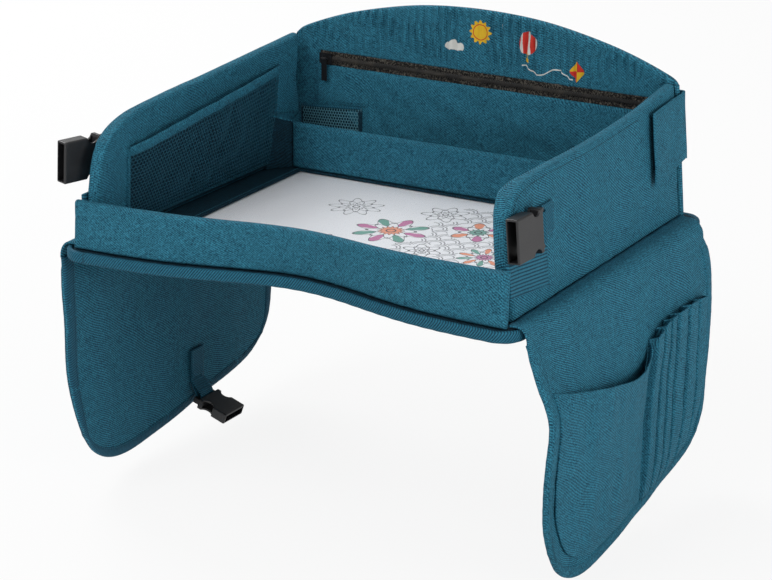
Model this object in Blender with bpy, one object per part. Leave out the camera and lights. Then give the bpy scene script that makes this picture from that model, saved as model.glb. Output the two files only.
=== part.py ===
"""Fabric play tray that lies across a child's car seat.

A padded base with a clear drawing window carries four stiffened walls. The back
wall has a zip pocket, a low divider makes a trough for a tablet, and a wing with
pockets hangs down each side. Four side release buckles take the straps.
Metres, +X to the tray's right, +Y to its back, +Z up. The origin is in the middle
of the flat underside.
"""

import math

import bmesh
import bpy
import numpy as np

for old in list(bpy.data.objects):
    bpy.data.objects.remove(old, do_unlink=True)

# Sizes of the base
clearance = 0.0003
front_width = 0.400
back_width = 0.388
tray_depth = 0.326
pad_ledge = 0.012
pad_half_width = front_width / 2 + pad_ledge
pad_front_y = -0.017
pad_back_y = 0.336
pad_corner_radius = 0.020
pad_front_dip = 0.031
pad_dip_spread = 0.092
pad_thickness = 0.011
underside_thickness = 0.0056
floor_thickness = 0.0015
board_thickness = 0.002
board_inset = 0.012
binding_width = 0.005
binding_height = 0.0110
binding_rise = 0.0004
window_half_width = 0.160
window_front_y = 0.046
window_back_y = 0.2795
window_corner_radius = 0.004
film_thickness = 0.0004
film_margin = 0.005
sheet_thickness = 0.0003
sheet_margin = 0.003

# Sizes of the walls
wall_thickness = 0.010
wall_front_y = 0.0050
wall_back_y = 0.3146
wall_height = 0.116
left_wall_lean_degrees = 3.0
right_wall_lean_degrees = 4.0
wall_gap = 0.0006
left_wall_edge_shares = [(0.009, 0), (0, 0.37), (0, 0.5), (0.012, 0.62), (0.040, 0.73)]
left_wall_top_shares = [
    (0.040, 0.73),
    (0.085, 0.81),
    (0.15, 0.87),
    (0.27, 0.905),
    (0.51, 0.935),
    (0.77, 0.97),
    (0.98, 1),
]
right_wall_edge_shares = [(0.009, 0), (0, 0.37), (0, 0.55), (0.009, 0.68), (0.031, 0.79)]
right_wall_top_shares = [
    (0.031, 0.79),
    (0.070, 0.855),
    (0.135, 0.898),
    (0.27, 0.92),
    (0.51, 0.94),
    (0.77, 0.97),
    (0.98, 1),
]
wall_seam_shares = [(1, 0), (1, 0.25), (1, 0.5), (0.98, 0.61), (0.98, 0.8), (0.98, 1)]
wall_board_inset = 0.010
back_wall_thickness = 0.007
back_wall_overhang = 0.0015
back_wall_half_width = back_width / 2 + back_wall_overhang
back_wall_shoulder_inset = 0.0079
back_wall_shoulder = back_wall_half_width - back_wall_shoulder_inset
back_wall_height = 0.157
back_top_shares = [
    (-1, 0.725),
    (-0.95, 0.775),
    (-0.73, 0.873),
    (-0.48, 0.946),
    (-0.26, 0.986),
    (0, 1),
    (0.26, 0.986),
    (0.48, 0.946),
    (0.73, 0.873),
    (0.95, 0.775),
    (1, 0.725),
]
front_wall_overhang = 0.0005
front_wall_half_width = front_width / 2 + front_wall_overhang
front_wall_left_height = 0.040
front_wall_right_height = 0.0445
front_wall_thickness = 0.010
front_wall_foot_y = -0.0110
front_wall_foot_dip = 0.031
front_wall_foot_spread = 0.092
front_wall_top_y = -0.0075
front_wall_top_dip = 0.0175
front_wall_top_spread = 0.080
soft_edge = 0.003
soft_edge_share = 0.45

# Sizes of the divider
gusset_room = 0.0245
trough_depth = 0.046
divider_half_width = back_width / 2 - gusset_room
divider_front_y = tray_depth - trough_depth
divider_thickness = 0.007
divider_height = 0.0425
divider_board_inset = 0.006
divider_board_thickness = 0.002
gusset_thickness = 0.0012
gusset_drop = 0.004
gusset_sag = 0.006

# Sizes of the pockets on the walls
net_thickness = 0.001
net_thread_share = 0.24
pocket_front_y = 0.050
pocket_divider_gap = 0.006
pocket_back_y = divider_front_y - pocket_divider_gap
pocket_foot = 0.006
pocket_front_height = 0.0745
pocket_back_height = 0.0955
pocket_arch = 0.004
pocket_depth = 0.0095
pocket_binding_height = 0.006
pocket_binding_thickness = 0.002
side_net_cells = (12, 5)
back_pocket_inset = 0.0145
back_pocket_width = 0.059
back_pocket_left_x = back_pocket_inset - back_wall_half_width
back_pocket_foot = 0.010
back_pocket_height = 0.050
back_pocket_depth = 0.0001
back_net_cells = (7, 4)
back_binding_height = 0.005
zip_pocket_inset = 0.0305
zip_pocket_half_width = back_wall_half_width - zip_pocket_inset
zip_pocket_foot = 0.005
zip_pocket_skin = 0.001
zip_pocket_bow = 0.0003

# Sizes of the zip
zip_end_inset = 0.003
zip_half_length = zip_pocket_half_width - zip_end_inset
zip_height = 0.095
zip_coil_height = 0.0024
zip_coil_depth = 0.0018
zip_tape_height = 0.0042
zip_tape_thickness = 0.0007
zip_panel_gap = 0.0005
slider_length = 0.012
slider_height = 0.009
slider_plate = 0.0013
slider_flange = 0.0022
slider_start = 0.0065
slider_x = slider_start - zip_half_length
slider_bail_length = 0.0075
slider_bail_radius = 0.0006
slider_post_length = 0.0014
slider_bail_reach = 0.0018
pull_ring_hole = 0.0009
pull_ring_radius = 0.0015
pull_ring_length = 0.0042
pull_tape_width = 0.0052
pull_tape_length = 0.020
pull_tape_thickness = 0.0010

# Sizes of the corner flaps
flap_reach = 0.064
flap_front_y = tray_depth - flap_reach
flap_back_y = 0.3272
flap_free_foot = 0.041
flap_seam_foot = 0.049
flap_free_top = 0.1035
flap_seam_top = 0.107
flap_thickness = 0.0022
fastener_thickness = 0.0006
fastener_inset = 0.005
fastener_back_y = 0.306

# Sizes of the bands that tie the front wall to the side walls
band_foot_y = 0.0065
band_top_y = 0.0056
band_back_y = 0.066
band_front_foot = 0.020
band_front_top = 0.0495
band_back_foot = 0.012
band_back_top = 0.045
band_thickness = 0.0016

# Sizes of the wings
lip_thickness = 0.0016
lip_front_y = -0.004
lip_back_y = 0.312
lip_rise = 0.0014
lip_drop = 0.0110
lip_reach = 0.0180
lip_line_shares = [(0, 0), (0.48, 0), (0.70, 0.12), (0.87, 0.36), (0.97, 0.66), (1, 1)]
lip_gap = 0.0006
wing_offset = 0.0163
wing_axis_x = front_width / 2 + wing_offset
wing_axis_z = -0.0140
wing_top_z = -0.0115
wing_front_y = -0.006
wing_length = 0.331
left_wing_drop = 0.2015
right_wing_drop = 0.2150
wing_thickness = 0.005
wing_binding_thickness = 0.0058
wing_hem_length_share = 0.043
wing_hem_drop_share = 0.058
wing_front_shares = [
    (0.006, 0),
    (0, 0.16),
    (0.003, 0.38),
    (0.015, 0.575),
    (0.033, 0.71),
    (0.060, 0.816),
]
wing_bottom_shares = [
    (0.060, 0.816),
    (0.104, 0.912),
    (0.170, 0.975),
    (0.262, 1),
    (0.395, 0.985),
    (0.585, 0.940),
    (0.740, 0.902),
    (0.866, 0.865),
    (0.935, 0.797),
]
wing_back_shares = [
    (0.961, 0),
    (0.988, 0.055),
    (1, 0.16),
    (1, 0.33),
    (0.988, 0.55),
    (0.970, 0.71),
    (0.935, 0.797),
]
right_wing_belly = 0.024
right_wing_belly_back = 0.004
left_wing_belly = -0.002
left_wing_belly_back = 0.007
wing_belly_shares = [
    (0, 0),
    (0.06, 0.24),
    (0.15, 0.56),
    (0.22, 0.86),
    (0.30, 1),
    (0.45, 0.86),
    (0.6, 0.72),
    (1, 0.62),
]
wing_skin = 0.0014
wing_gap = 0.0008
wing_pocket_gap = 0.0010
pocket_top_shares = [
    (0.049, 0.176),
    (0.109, 0.202),
    (0.266, 0.2535),
    (0.429, 0.300),
    (0.529, 0.291),
    (0.572, 0.240),
]
pocket_front_shares = [
    (0.049, 0.176),
    (0.050, 0.37),
    (0.066, 0.575),
    (0.082, 0.70),
    (0.112, 0.79),
]
pocket_foot_shares = [
    (0.112, 0.79),
    (0.145, 0.848),
    (0.20, 0.895),
    (0.30, 0.925),
    (0.42, 0.912),
    (0.548, 0.886),
]
pocket_edge_shares = [(0.572, 0.240), (0.566, 0.5), (0.548, 0.886)]
book_pocket_bulge = 0.0105
sleeve_top_shares = [
    (0.580, 0.228),
    (0.64, 0.206),
    (0.72, 0.197),
    (0.83, 0.198),
    (0.950, 0.212),
]
sleeve_front_shares = [(0.580, 0.228), (0.574, 0.5), (0.556, 0.884)]
sleeve_back_shares = [(0.950, 0.212), (0.951, 0.45), (0.942, 0.60), (0.917, 0.722)]
sleeve_foot_shares = [(0.556, 0.884), (0.70, 0.858), (0.83, 0.815), (0.917, 0.722)]
sleeve_width_shares = [0.13, 0.13, 0.15, 0.21, 0.20, 0.18]
sleeve_bulge = 0.0072
sleeve_skin = 0.0012
sleeve_gap = 0.0016

# Sizes of the buckles and their webbing
wall_webbing_width = 0.025
leg_webbing_width = 0.020
webbing_thickness = 0.0012
bar_radius = 0.0016
bar_slack = 0.00035
wall_buckle_length = 0.043
leg_buckle_length = 0.034
wall_buckle_thickness = 0.011
leg_buckle_thickness = 0.0100
buckle_side = 0.0054
buckle_wall = 0.0016
buckle_rear_wall = 0.0042
buckle_notch_radius = 0.0062
buckle_notch_reach = 0.0100
buckle_bevel = 0.0012
arm_width = 0.0030
arm_half_thickness = 0.0024
arm_overlap = 0.0014
arm_end_margin = 0.0004
wall_bar_y = 0.0405
wall_bar_height = 0.0672
wall_bar_drop = 0.0092
wall_tab_length = 0.036
right_buckle_tilt_degrees = -3.0
left_buckle_tilt_degrees = 15.0
leg_bar_y = 0.187
leg_bar_z = -0.195
leg_bar_drop = 0.0086
leg_tab_length = 0.045
leg_buckle_angle_degrees = 70.0
tab_ramp_start = 0.0055
tab_ramp_end = 0.0160

origin = np.array([0, (pad_front_y + pad_back_y) / 2, -pad_thickness])


# Mesh helpers
def paint(obj, colour, roughness):
    material = bpy.data.materials.new(obj.name)
    material.use_nodes = True
    shader = material.node_tree.nodes["Principled BSDF"]
    shader.inputs["Base Color"].default_value = (*colour, 1)
    shader.inputs["Roughness"].default_value = roughness
    obj.data.materials.append(material)


TEAL = (0.045, 0.150, 0.215)
DARK = (0.012, 0.055, 0.085)
BLACK = (0.015, 0.015, 0.017)
BOARD = (0.55, 0.52, 0.46)


def build(name, points, faces, colour=TEAL, roughness=0.8, hidden=False):
    mesh = bpy.data.meshes.new(name)
    mesh.from_pydata([tuple(p) for p in np.asarray(points) - origin], [], faces)
    work = bmesh.new()
    work.from_mesh(mesh)
    bmesh.ops.recalc_face_normals(work, faces=work.faces)
    if work.calc_volume(signed=True) < 0:
        bmesh.ops.reverse_faces(work, faces=work.faces)
    work.to_mesh(mesh)
    work.free()
    obj = bpy.data.objects.new(name, mesh)
    bpy.context.scene.collection.objects.link(obj)
    paint(obj, colour, roughness)
    if hidden:
        obj.hide_render = True
        obj.display_type = "WIRE"
    return obj


def smooth(points, fractions):
    """A curve through points, read at fractions of its length."""
    points = np.array(points, float)
    if len(points) == 2:
        return points[0] + np.outer(fractions, points[1] - points[0])
    ends = np.vstack([2 * points[0] - points[1], points, 2 * points[-1] - points[-2]])
    fine = []
    for k in range(1, len(ends) - 2):
        a, b, c, d = ends[k - 1 : k + 3]
        for t in np.linspace(0, 1, 12, endpoint=False):
            bend = 2 * a - 5 * b + 4 * c - d
            turn = 3 * b - a - 3 * c + d
            fine.append((2 * b + (c - a) * t + bend * t * t + turn * t**3) / 2)
    fine = np.array(fine + [points[-1]])
    steps = np.linalg.norm(np.diff(fine, axis=0), axis=1)
    run = np.concatenate([[0], np.cumsum(steps)]) / steps.sum()
    return np.stack([np.interp(fractions, run, column) for column in fine.T], 1)


def spread(count, edge, length):
    """Fractions for count rows with one more row close to each end."""
    near = edge / length
    return np.concatenate([[0], np.linspace(near, 1 - near, count), [1]])


class Patch:
    """A flat patch between four curves, read at (along, up) shares."""

    def __init__(self, low, high, near, far):
        self.sides = [low, high, near, far]

    def at(self, along, up):
        low, high, near, far = self.sides
        along = np.asarray(along, float)
        up = np.asarray(up, float)
        s = along[None, :, None]
        t = up[:, None, None]
        low_line = smooth(low, along)[None]
        high_line = smooth(high, along)[None]
        near_line = smooth(near, up)[:, None]
        far_line = smooth(far, up)[:, None]
        corners = [np.array(c, float) for c in (low[0], low[-1], high[0], high[-1])]
        flat = (1 - s) * (1 - t) * corners[0] + s * (1 - t) * corners[1]
        flat = flat + (1 - s) * t * corners[2] + s * t * corners[3]
        return (1 - t) * low_line + t * high_line + (1 - s) * near_line + s * far_line - flat


def closed_skin(name, front, back, colour=TEAL, roughness=0.8, hidden=False):
    """A solid between two grids of points."""
    rows, columns = front.shape[:2]
    points = np.concatenate([front.reshape(-1, 3), back.reshape(-1, 3)])
    index = np.arange(2 * rows * columns).reshape(2, rows, columns)
    faces = []
    for i in range(rows - 1):
        for j in range(columns - 1):
            for side in index:
                faces.append((side[i, j], side[i, j + 1], side[i + 1, j + 1], side[i + 1, j]))
    rim = [(0, j) for j in range(columns)]
    rim += [(i, columns - 1) for i in range(1, rows)]
    rim += [(rows - 1, j) for j in range(columns - 2, -1, -1)]
    rim += [(i, 0) for i in range(rows - 2, 0, -1)]
    for a, b in zip(rim, rim[1:] + rim[:1]):
        faces.append((index[0][a], index[0][b], index[1][b], index[1][a]))
    faces = [tuple(int(v) for v in face) for face in faces]
    return build(name, points, faces, colour, roughness, hidden)


def swept(name, sections, loop=False, colour=TEAL, roughness=0.8, hidden=False):
    """A solid along closed cross sections with the same number of points."""
    sections = np.array(sections, float)
    count, around = sections.shape[:2]
    index = np.arange(count * around).reshape(count, around)
    faces = []
    for i in range(count if loop else count - 1):
        a = index[i]
        b = index[(i + 1) % count]
        for j in range(around):
            k = (j + 1) % around
            faces.append((int(a[j]), int(a[k]), int(b[k]), int(b[j])))
    if not loop:
        faces.append(tuple(int(v) for v in index[0]))
        faces.append(tuple(int(v) for v in index[-1]))
    return build(name, sections.reshape(-1, 3), faces, colour, roughness, hidden)


def block(name, low, high, place, colour=TEAL, roughness=0.8, hidden=False):
    """A box between two corners given in the axes of place."""
    (a, b, c), (d, e, f) = low, high
    ends = []
    for u in (a, d):
        ends.append([place(u, b, c), place(u, e, c), place(u, e, f), place(u, b, f)])
    return swept(name, ends, False, colour, roughness, hidden)


def rod(name, start, end, side, radius, steps, colour=BLACK, hidden=False):
    """A round bar, side is a direction square to its axis."""
    start = np.array(start, float)
    end = np.array(end, float)
    axis = (end - start) / np.linalg.norm(end - start)
    side = np.array(side, float)
    other = np.cross(axis, side)
    turn = np.linspace(0, 2 * math.pi, steps, endpoint=False)
    ring = np.outer(np.cos(turn), side) + np.outer(np.sin(turn), other)
    return swept(name, [start + radius * ring, end + radius * ring], False, colour, 0.4, hidden)


def change(obj, other, operation):
    """Cut other from obj, or join it to obj, and use the result as the mesh."""
    step = obj.modifiers.new(operation.lower(), "BOOLEAN")
    step.operation = operation
    step.solver = "EXACT"
    step.object = other
    bpy.context.view_layer.update()
    graph = bpy.context.evaluated_depsgraph_get()
    mesh = bpy.data.meshes.new_from_object(obj.evaluated_get(graph))
    obj.modifiers.clear()
    obj.data = mesh
    bpy.data.objects.remove(other, do_unlink=True)


def soften(obj, width, segments):
    """Round the edges of a block."""
    step = obj.modifiers.new("soften", "BEVEL")
    step.width = width
    step.segments = segments
    step.limit_method = "ANGLE"
    bpy.context.view_layer.update()
    graph = bpy.context.evaluated_depsgraph_get()
    mesh = bpy.data.meshes.new_from_object(obj.evaluated_get(graph))
    obj.modifiers.clear()
    obj.data = mesh


def edge_factor(rows, columns, share):
    """Thickness over a grid: full inside and share of it on the rim."""
    factor = np.ones((rows, columns))
    factor[[0, -1], :] = share
    factor[:, [0, -1]] = share
    return factor


def plain(x, y, z):
    return np.array([x, y, z], float)


# Base outline
def dip(x, depth, width):
    return depth * math.exp(-((x / width) ** 2))


def pad_outline(inset):
    """Points round the base in (x, y), inset from its edge."""
    flat_x = pad_half_width - pad_corner_radius
    front_centre = pad_front_y + pad_corner_radius + dip(flat_x, pad_front_dip, pad_dip_spread)
    back_centre = pad_back_y - pad_corner_radius
    points = []
    for share in np.linspace(-1, 1, 19)[1:-1]:
        x = share * flat_x
        points.append((x, pad_front_y + inset + dip(x, pad_front_dip, pad_dip_spread)))
    for side, centre_y, first in (
        (1, front_centre, -90),
        (1, back_centre, 0),
        (-1, back_centre, 90),
        (-1, front_centre, 180),
    ):
        for step in range(7):
            angle = math.radians(first + 15 * step)
            reach = pad_corner_radius - inset
            x = side * flat_x + reach * math.cos(angle)
            points.append((x, centre_y + reach * math.sin(angle)))
    return points


def plate(name, outline, low, high, colour=TEAL, roughness=0.8, hidden=False):
    """A flat plate with this outline."""
    rings = [[(x, y, z) for x, y in outline] for z in (low, high)]
    return swept(name, rings, False, colour, roughness, hidden)


underside_outline = pad_outline(binding_width + clearance)
underside_top = -pad_thickness + underside_thickness
plate("base_underside", underside_outline, -pad_thickness, underside_top, DARK, 0.9)
board_low = underside_top + clearance
board_high = board_low + board_thickness
plate("base_board", pad_outline(board_inset), board_low, board_high, BOARD, 0.6)
floor = plate("base_floor", underside_outline, -floor_thickness, 0)
window_corners = []
for side_x, side_y, start in ((1, 1, 0), (-1, 1, 90), (-1, -1, 180), (1, -1, 270)):
    centre_x = side_x * (window_half_width - window_corner_radius)
    middle = (window_front_y + window_back_y) / 2
    reach = (window_back_y - window_front_y) / 2 - window_corner_radius
    for turn in (0, 30, 60, 90):
        angle = math.radians(start + turn)
        window_corners.append(
            (
                centre_x + window_corner_radius * math.cos(angle),
                middle + side_y * reach + window_corner_radius * math.sin(angle),
            )
        )
cutter = plate(
    "window_cutter", window_corners, -2 * floor_thickness, floor_thickness, hidden=True
)
change(floor, cutter, "DIFFERENCE")
film_top = -floor_thickness - clearance
block(
    "window_film",
    (-window_half_width - film_margin, window_front_y - film_margin, film_top - film_thickness),
    (window_half_width + film_margin, window_back_y + film_margin, film_top),
    plain,
    (0.8, 0.85, 0.9),
    0.05,
)
sheet_top = film_top - film_thickness - clearance
block(
    "drawing_sheet",
    (-window_half_width - sheet_margin, window_front_y - sheet_margin, sheet_top - sheet_thickness),
    (window_half_width + sheet_margin, window_back_y + sheet_margin, sheet_top),
    plain,
    (0.85, 0.85, 0.88),
    0.7,
)

# Binding round the base
binding_top = binding_rise
binding_foot = binding_rise - binding_height
binding_round = binding_width / 2
profile = [
    (binding_width, binding_foot + binding_round / 3),
    (binding_round, binding_foot),
    (0, binding_foot + binding_round),
    (0, binding_top - binding_round),
    (binding_round, binding_top),
    (binding_width, binding_top - binding_round / 3),
]
rings = [[(x, y, z) for x, y in pad_outline(inset)] for inset, z in profile]
swept("base_binding", np.array(rings).transpose(1, 0, 2), True)

# Front wall, a padded band whose middle bows in towards the child
front_columns = 21
front_x = np.linspace(-front_wall_half_width, front_wall_half_width, front_columns)
front_rows = np.array([0, 0.07, 0.4, 0.8, 0.95, 1])
front_half = front_wall_thickness / 2
front_fat = np.array([0.55, 0.95, 1, 0.98, 0.8, 0.35])
outer = np.zeros((len(front_rows), front_columns, 3))
inner = outer.copy()
for j, x in enumerate(front_x):
    foot = front_wall_foot_y + dip(x, front_wall_foot_dip, front_wall_foot_spread)
    top = front_wall_top_y + dip(x, front_wall_top_dip, front_wall_top_spread)
    along = (x + front_wall_half_width) / (2 * front_wall_half_width)
    height = front_wall_left_height + along * (front_wall_right_height - front_wall_left_height)
    end_share = min(1, 0.5 + (front_wall_half_width - abs(x)) / (4 * soft_edge))
    for i, up in enumerate(front_rows):
        middle_y = foot + (top - foot) * up + front_half
        half = front_half * front_fat[i] * end_share
        z = wall_gap + up * height
        outer[i, j] = (x, middle_y - half, z)
        inner[i, j] = (x, middle_y + half, z)
closed_skin("front_wall", inner, outer)

# Side walls
toe = (front_width - back_width) / 2 / tray_depth
wall_length = wall_back_y - wall_front_y


def wall_frame(side):
    """Place (along, up, out) points of a side wall; out is 0 on its inner face."""
    lean = math.radians(left_wall_lean_degrees if side < 0 else right_wall_lean_degrees)
    seam = np.array([-side * toe, 1, 0]) / math.hypot(toe, 1)
    outward = np.array([side * seam[1], -side * seam[0], 0])
    up_axis = math.cos(lean) * np.array([0, 0, 1.0]) - math.sin(lean) * outward
    out_axis = math.cos(lean) * outward + math.sin(lean) * np.array([0, 0, 1.0])
    start = np.array([side * (front_width / 2 - wall_thickness), 0, wall_gap])

    def place(along, up, out):
        return start + along * seam + up * up_axis + out * out_axis

    return place


def grid_of(flat, place, out):
    """Grid of placed points; out is one distance or one for each point."""
    rows, columns = flat.shape[:2]
    out = np.broadcast_to(out, (rows, columns))
    made = [[place(*flat[i, j], out[i, j]) for j in range(columns)] for i in range(rows)]
    return np.array(made)


def wall_point(share):
    return (wall_front_y + share[0] * wall_length, share[1] * wall_height)


def wall_patch(edge_shares, top_shares):
    return Patch(
        [wall_point(edge_shares[0]), wall_point(wall_seam_shares[0])],
        [wall_point(share) for share in top_shares],
        [wall_point(share) for share in edge_shares],
        [wall_point(share) for share in wall_seam_shares],
    )


def stiff_panel(name, patch, place, length, height, thick, inset, board, columns, rows):
    """A soft edged cover with a board in a slot that is open along the seam."""
    along = spread(columns, soft_edge, length)
    up = spread(rows, soft_edge, height)
    flat = patch.at(along, up)
    fat = edge_factor(len(up), len(along), soft_edge_share)
    fat[0, 1:-1] = 0.9
    middle = thick / 2
    cover = closed_skin(
        name + "_cover",
        grid_of(flat, place, middle + middle * fat),
        grid_of(flat, place, middle - middle * fat),
    )
    near = inset / length
    low = clearance / height
    reach = 1 - inset / height
    board_along = np.linspace(near, 1 - near, columns)
    board_up = np.linspace(low, reach, rows)
    flat = patch.at(board_along, board_up)
    half = board / 2
    closed_skin(
        name + "_board",
        grid_of(flat, place, middle + half),
        grid_of(flat, place, middle - half),
        BOARD,
        0.6,
    )
    centre = (flat.min((0, 1)) + flat.max((0, 1))) / 2
    grown = 1 + 4 * clearance / np.array([length, height])
    flat = centre + (flat - centre) * grown
    flat[0, :, 1] -= 20 * clearance
    half = board / 2 + clearance
    slot = closed_skin(
        name + "_slot",
        grid_of(flat, place, middle + half),
        grid_of(flat, place, middle - half),
        hidden=True,
    )
    change(cover, slot, "DIFFERENCE")


def net(name, point, cells, thickness_axis):
    """A flat net: point gives a place for (along, up) shares, cells its gaps."""
    columns, rows = cells
    half = net_thickness / 2
    points = []
    faces = []
    lattice = np.zeros((2, rows + 1, columns + 1), int)
    holes = np.zeros((2, rows, columns, 4), int)
    for side, shift in enumerate((half, -half)):
        for i in range(rows + 1):
            for j in range(columns + 1):
                lattice[side, i, j] = len(points)
                points.append(point(j / columns, i / rows) + shift * thickness_axis)
        low = net_thread_share / 2
        high = 1 - low
        for i in range(rows):
            for j in range(columns):
                for k, (a, b) in enumerate(((low, low), (high, low), (high, high), (low, high))):
                    holes[side, i, j, k] = len(points)
                    place = point((j + a) / columns, (i + b) / rows)
                    points.append(place + shift * thickness_axis)
    for i in range(rows):
        for j in range(columns):
            for side in (0, 1):
                grid = lattice[side]
                ring = (grid[i, j], grid[i, j + 1], grid[i + 1, j + 1], grid[i + 1, j])
                hole = holes[side, i, j]
                for k in range(4):
                    n = (k + 1) % 4
                    faces.append((ring[k], ring[n], hole[n], hole[k]))
            for k in range(4):
                n = (k + 1) % 4
                front = holes[0, i, j]
                back = holes[1, i, j]
                faces.append((front[k], front[n], back[n], back[k]))
    rim = [(0, j) for j in range(columns + 1)]
    rim += [(i, columns) for i in range(1, rows + 1)]
    rim += [(rows, j) for j in range(columns - 1, -1, -1)]
    rim += [(i, 0) for i in range(rows - 1, 0, -1)]
    for a, b in zip(rim, rim[1:] + rim[:1]):
        faces.append((lattice[0][a], lattice[0][b], lattice[1][b], lattice[1][a]))
    faces = [tuple(int(v) for v in face) for face in faces]
    return build(name, points, faces, DARK, 0.7)


def pocket_gap(along, up, depth):
    """How far a pocket stands off: open along its top, closed at foot and ends."""
    return depth * math.sin(math.pi * along) ** 0.6 * math.sin(math.pi / 2 * up) ** 0.8


def wall_pocket(side, label, place):
    """Net pocket on the inner face, with its bound top edge."""
    out_axis = place(0, 0, 1) - place(0, 0, 0)
    stand = clearance + net_thickness / 2

    def top_at(along):
        straight = pocket_front_height + (pocket_back_height - pocket_front_height) * along
        return straight + pocket_arch * math.sin(math.pi * along)

    def point(along, up):
        y = pocket_front_y + along * (pocket_back_y - pocket_front_y)
        net_top = top_at(along) - pocket_binding_height - clearance
        share = up * net_top / top_at(along)
        z = pocket_foot + up * (net_top - pocket_foot)
        return place(y, z, -stand - pocket_gap(along, share, pocket_depth))

    net(label + "_mesh_pocket", point, side_net_cells, out_axis)
    columns = np.linspace(0, 1, side_net_cells[0] + 1)
    rows = np.array([0, 0.5, 1])
    front = np.zeros((3, len(columns), 3))
    back = front.copy()
    half = pocket_binding_thickness / 2
    for i, row in enumerate(rows):
        for j, along in enumerate(columns):
            y = pocket_front_y + along * (pocket_back_y - pocket_front_y)
            z = top_at(along) - pocket_binding_height * (1 - row)
            gap = clearance + half + pocket_gap(along, z / top_at(along), pocket_depth)
            fat = half if i == 1 else half * 0.6
            front[i, j] = place(y, z, -gap - fat)
            back[i, j] = place(y, z, -gap + fat)
    closed_skin(label + "_pocket_binding", front, back)


def corner_band(label, place):
    """Ribbed webbing that ties the front wall to a side wall."""
    corners = [
        (band_foot_y, band_front_foot),
        (band_back_y, band_back_foot),
        (band_back_y, band_back_top),
        (band_top_y, band_front_top),
    ]
    low = wall_thickness + clearance
    levels = (low, low + band_thickness)
    swept(
        label + "_corner_band",
        [[place(y, z, level) for y, z in corners] for level in levels],
    )


def ribbon(path, thickness):
    """Outline of a strip of webbing seen edge on."""
    path = np.array(path, float)
    step = np.gradient(path, axis=0)
    step /= np.linalg.norm(step, axis=1)[:, None]
    normal = np.stack([-step[:, 1], step[:, 0]], 1) * thickness / 2
    return np.concatenate([path + normal, (path - normal)[::-1]])


def webbing_tab(name, bar, tail, towards, across, drop, length, width):
    """Two plies sewn to a face, looped round the bar of a buckle.

    tail points from the bar to the sewn end, towards from the bar to the face.
    """
    turn_radius = bar_radius + bar_slack + webbing_thickness / 2
    first = drop - clearance - webbing_thickness / 2
    second = first - webbing_thickness - clearance
    path = [(length, first), (length / 2, first), (tab_ramp_end, first)]
    path.append((tab_ramp_start, turn_radius))
    for turn in np.linspace(90, 270, 9):
        angle = math.radians(turn)
        path.append((turn_radius * math.cos(angle), turn_radius * math.sin(angle)))
    path.append((tab_ramp_start, -turn_radius))
    path += [(tab_ramp_end, second), (length / 2, second), (length, second)]
    outline = ribbon(path, webbing_thickness)
    ends = []
    for half in (-width / 2, width / 2):
        ends.append([bar + a * tail + b * towards + half * across for a, b in outline])
    swept(name, ends)


def buckle(name, bar, ahead, flat, across, length, thick, webbing):
    """Socket half of a side release buckle, with its bar at the rear.

    ahead points from the bar to the mouth, flat through its thickness.
    """

    def place(a, b, c):
        return bar + a * ahead + b * flat + c * across

    half_width = webbing / 2 + buckle_side
    rear = bar_radius + bar_slack + webbing_thickness + 2 * clearance
    half = thick / 2
    low = (rear, -half, -half_width)
    body = block(name, low, (length, half, half_width), place, BLACK, 0.4)
    soften(body, buckle_bevel, 2)
    arm_start = webbing / 2 + 2 * clearance
    for side in (-1, 1):
        inner = side * arm_start
        outer = side * (arm_start + arm_width)
        arm = block(
            name + "_arm",
            (-bar_radius - arm_end_margin, -arm_half_thickness, min(inner, outer)),
            (rear + arm_overlap, arm_half_thickness, max(inner, outer)),
            place,
        )
        change(body, arm, "UNION")
    reach = arm_start + arm_width / 2
    pin = rod(name + "_pin", place(0, 0, -reach), place(0, 0, reach), ahead, bar_radius, 12)
    change(body, pin, "UNION")
    hollow_width = half_width - buckle_wall
    hollow = block(
        name + "_hollow",
        (rear + buckle_rear_wall, -half + buckle_wall, -hollow_width),
        (length + buckle_wall, half - buckle_wall, hollow_width),
        place,
        hidden=True,
    )
    change(body, hollow, "DIFFERENCE")
    for side in (-1, 1):
        centre_a = rear + buckle_notch_reach
        centre_c = side * (half_width + buckle_notch_radius / 6)
        notch = rod(
            name + "_notch",
            place(centre_a, -thick, centre_c),
            place(centre_a, thick, centre_c),
            ahead,
            buckle_notch_radius,
            16,
            hidden=True,
        )
        change(body, notch, "DIFFERENCE")
    return body


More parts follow.
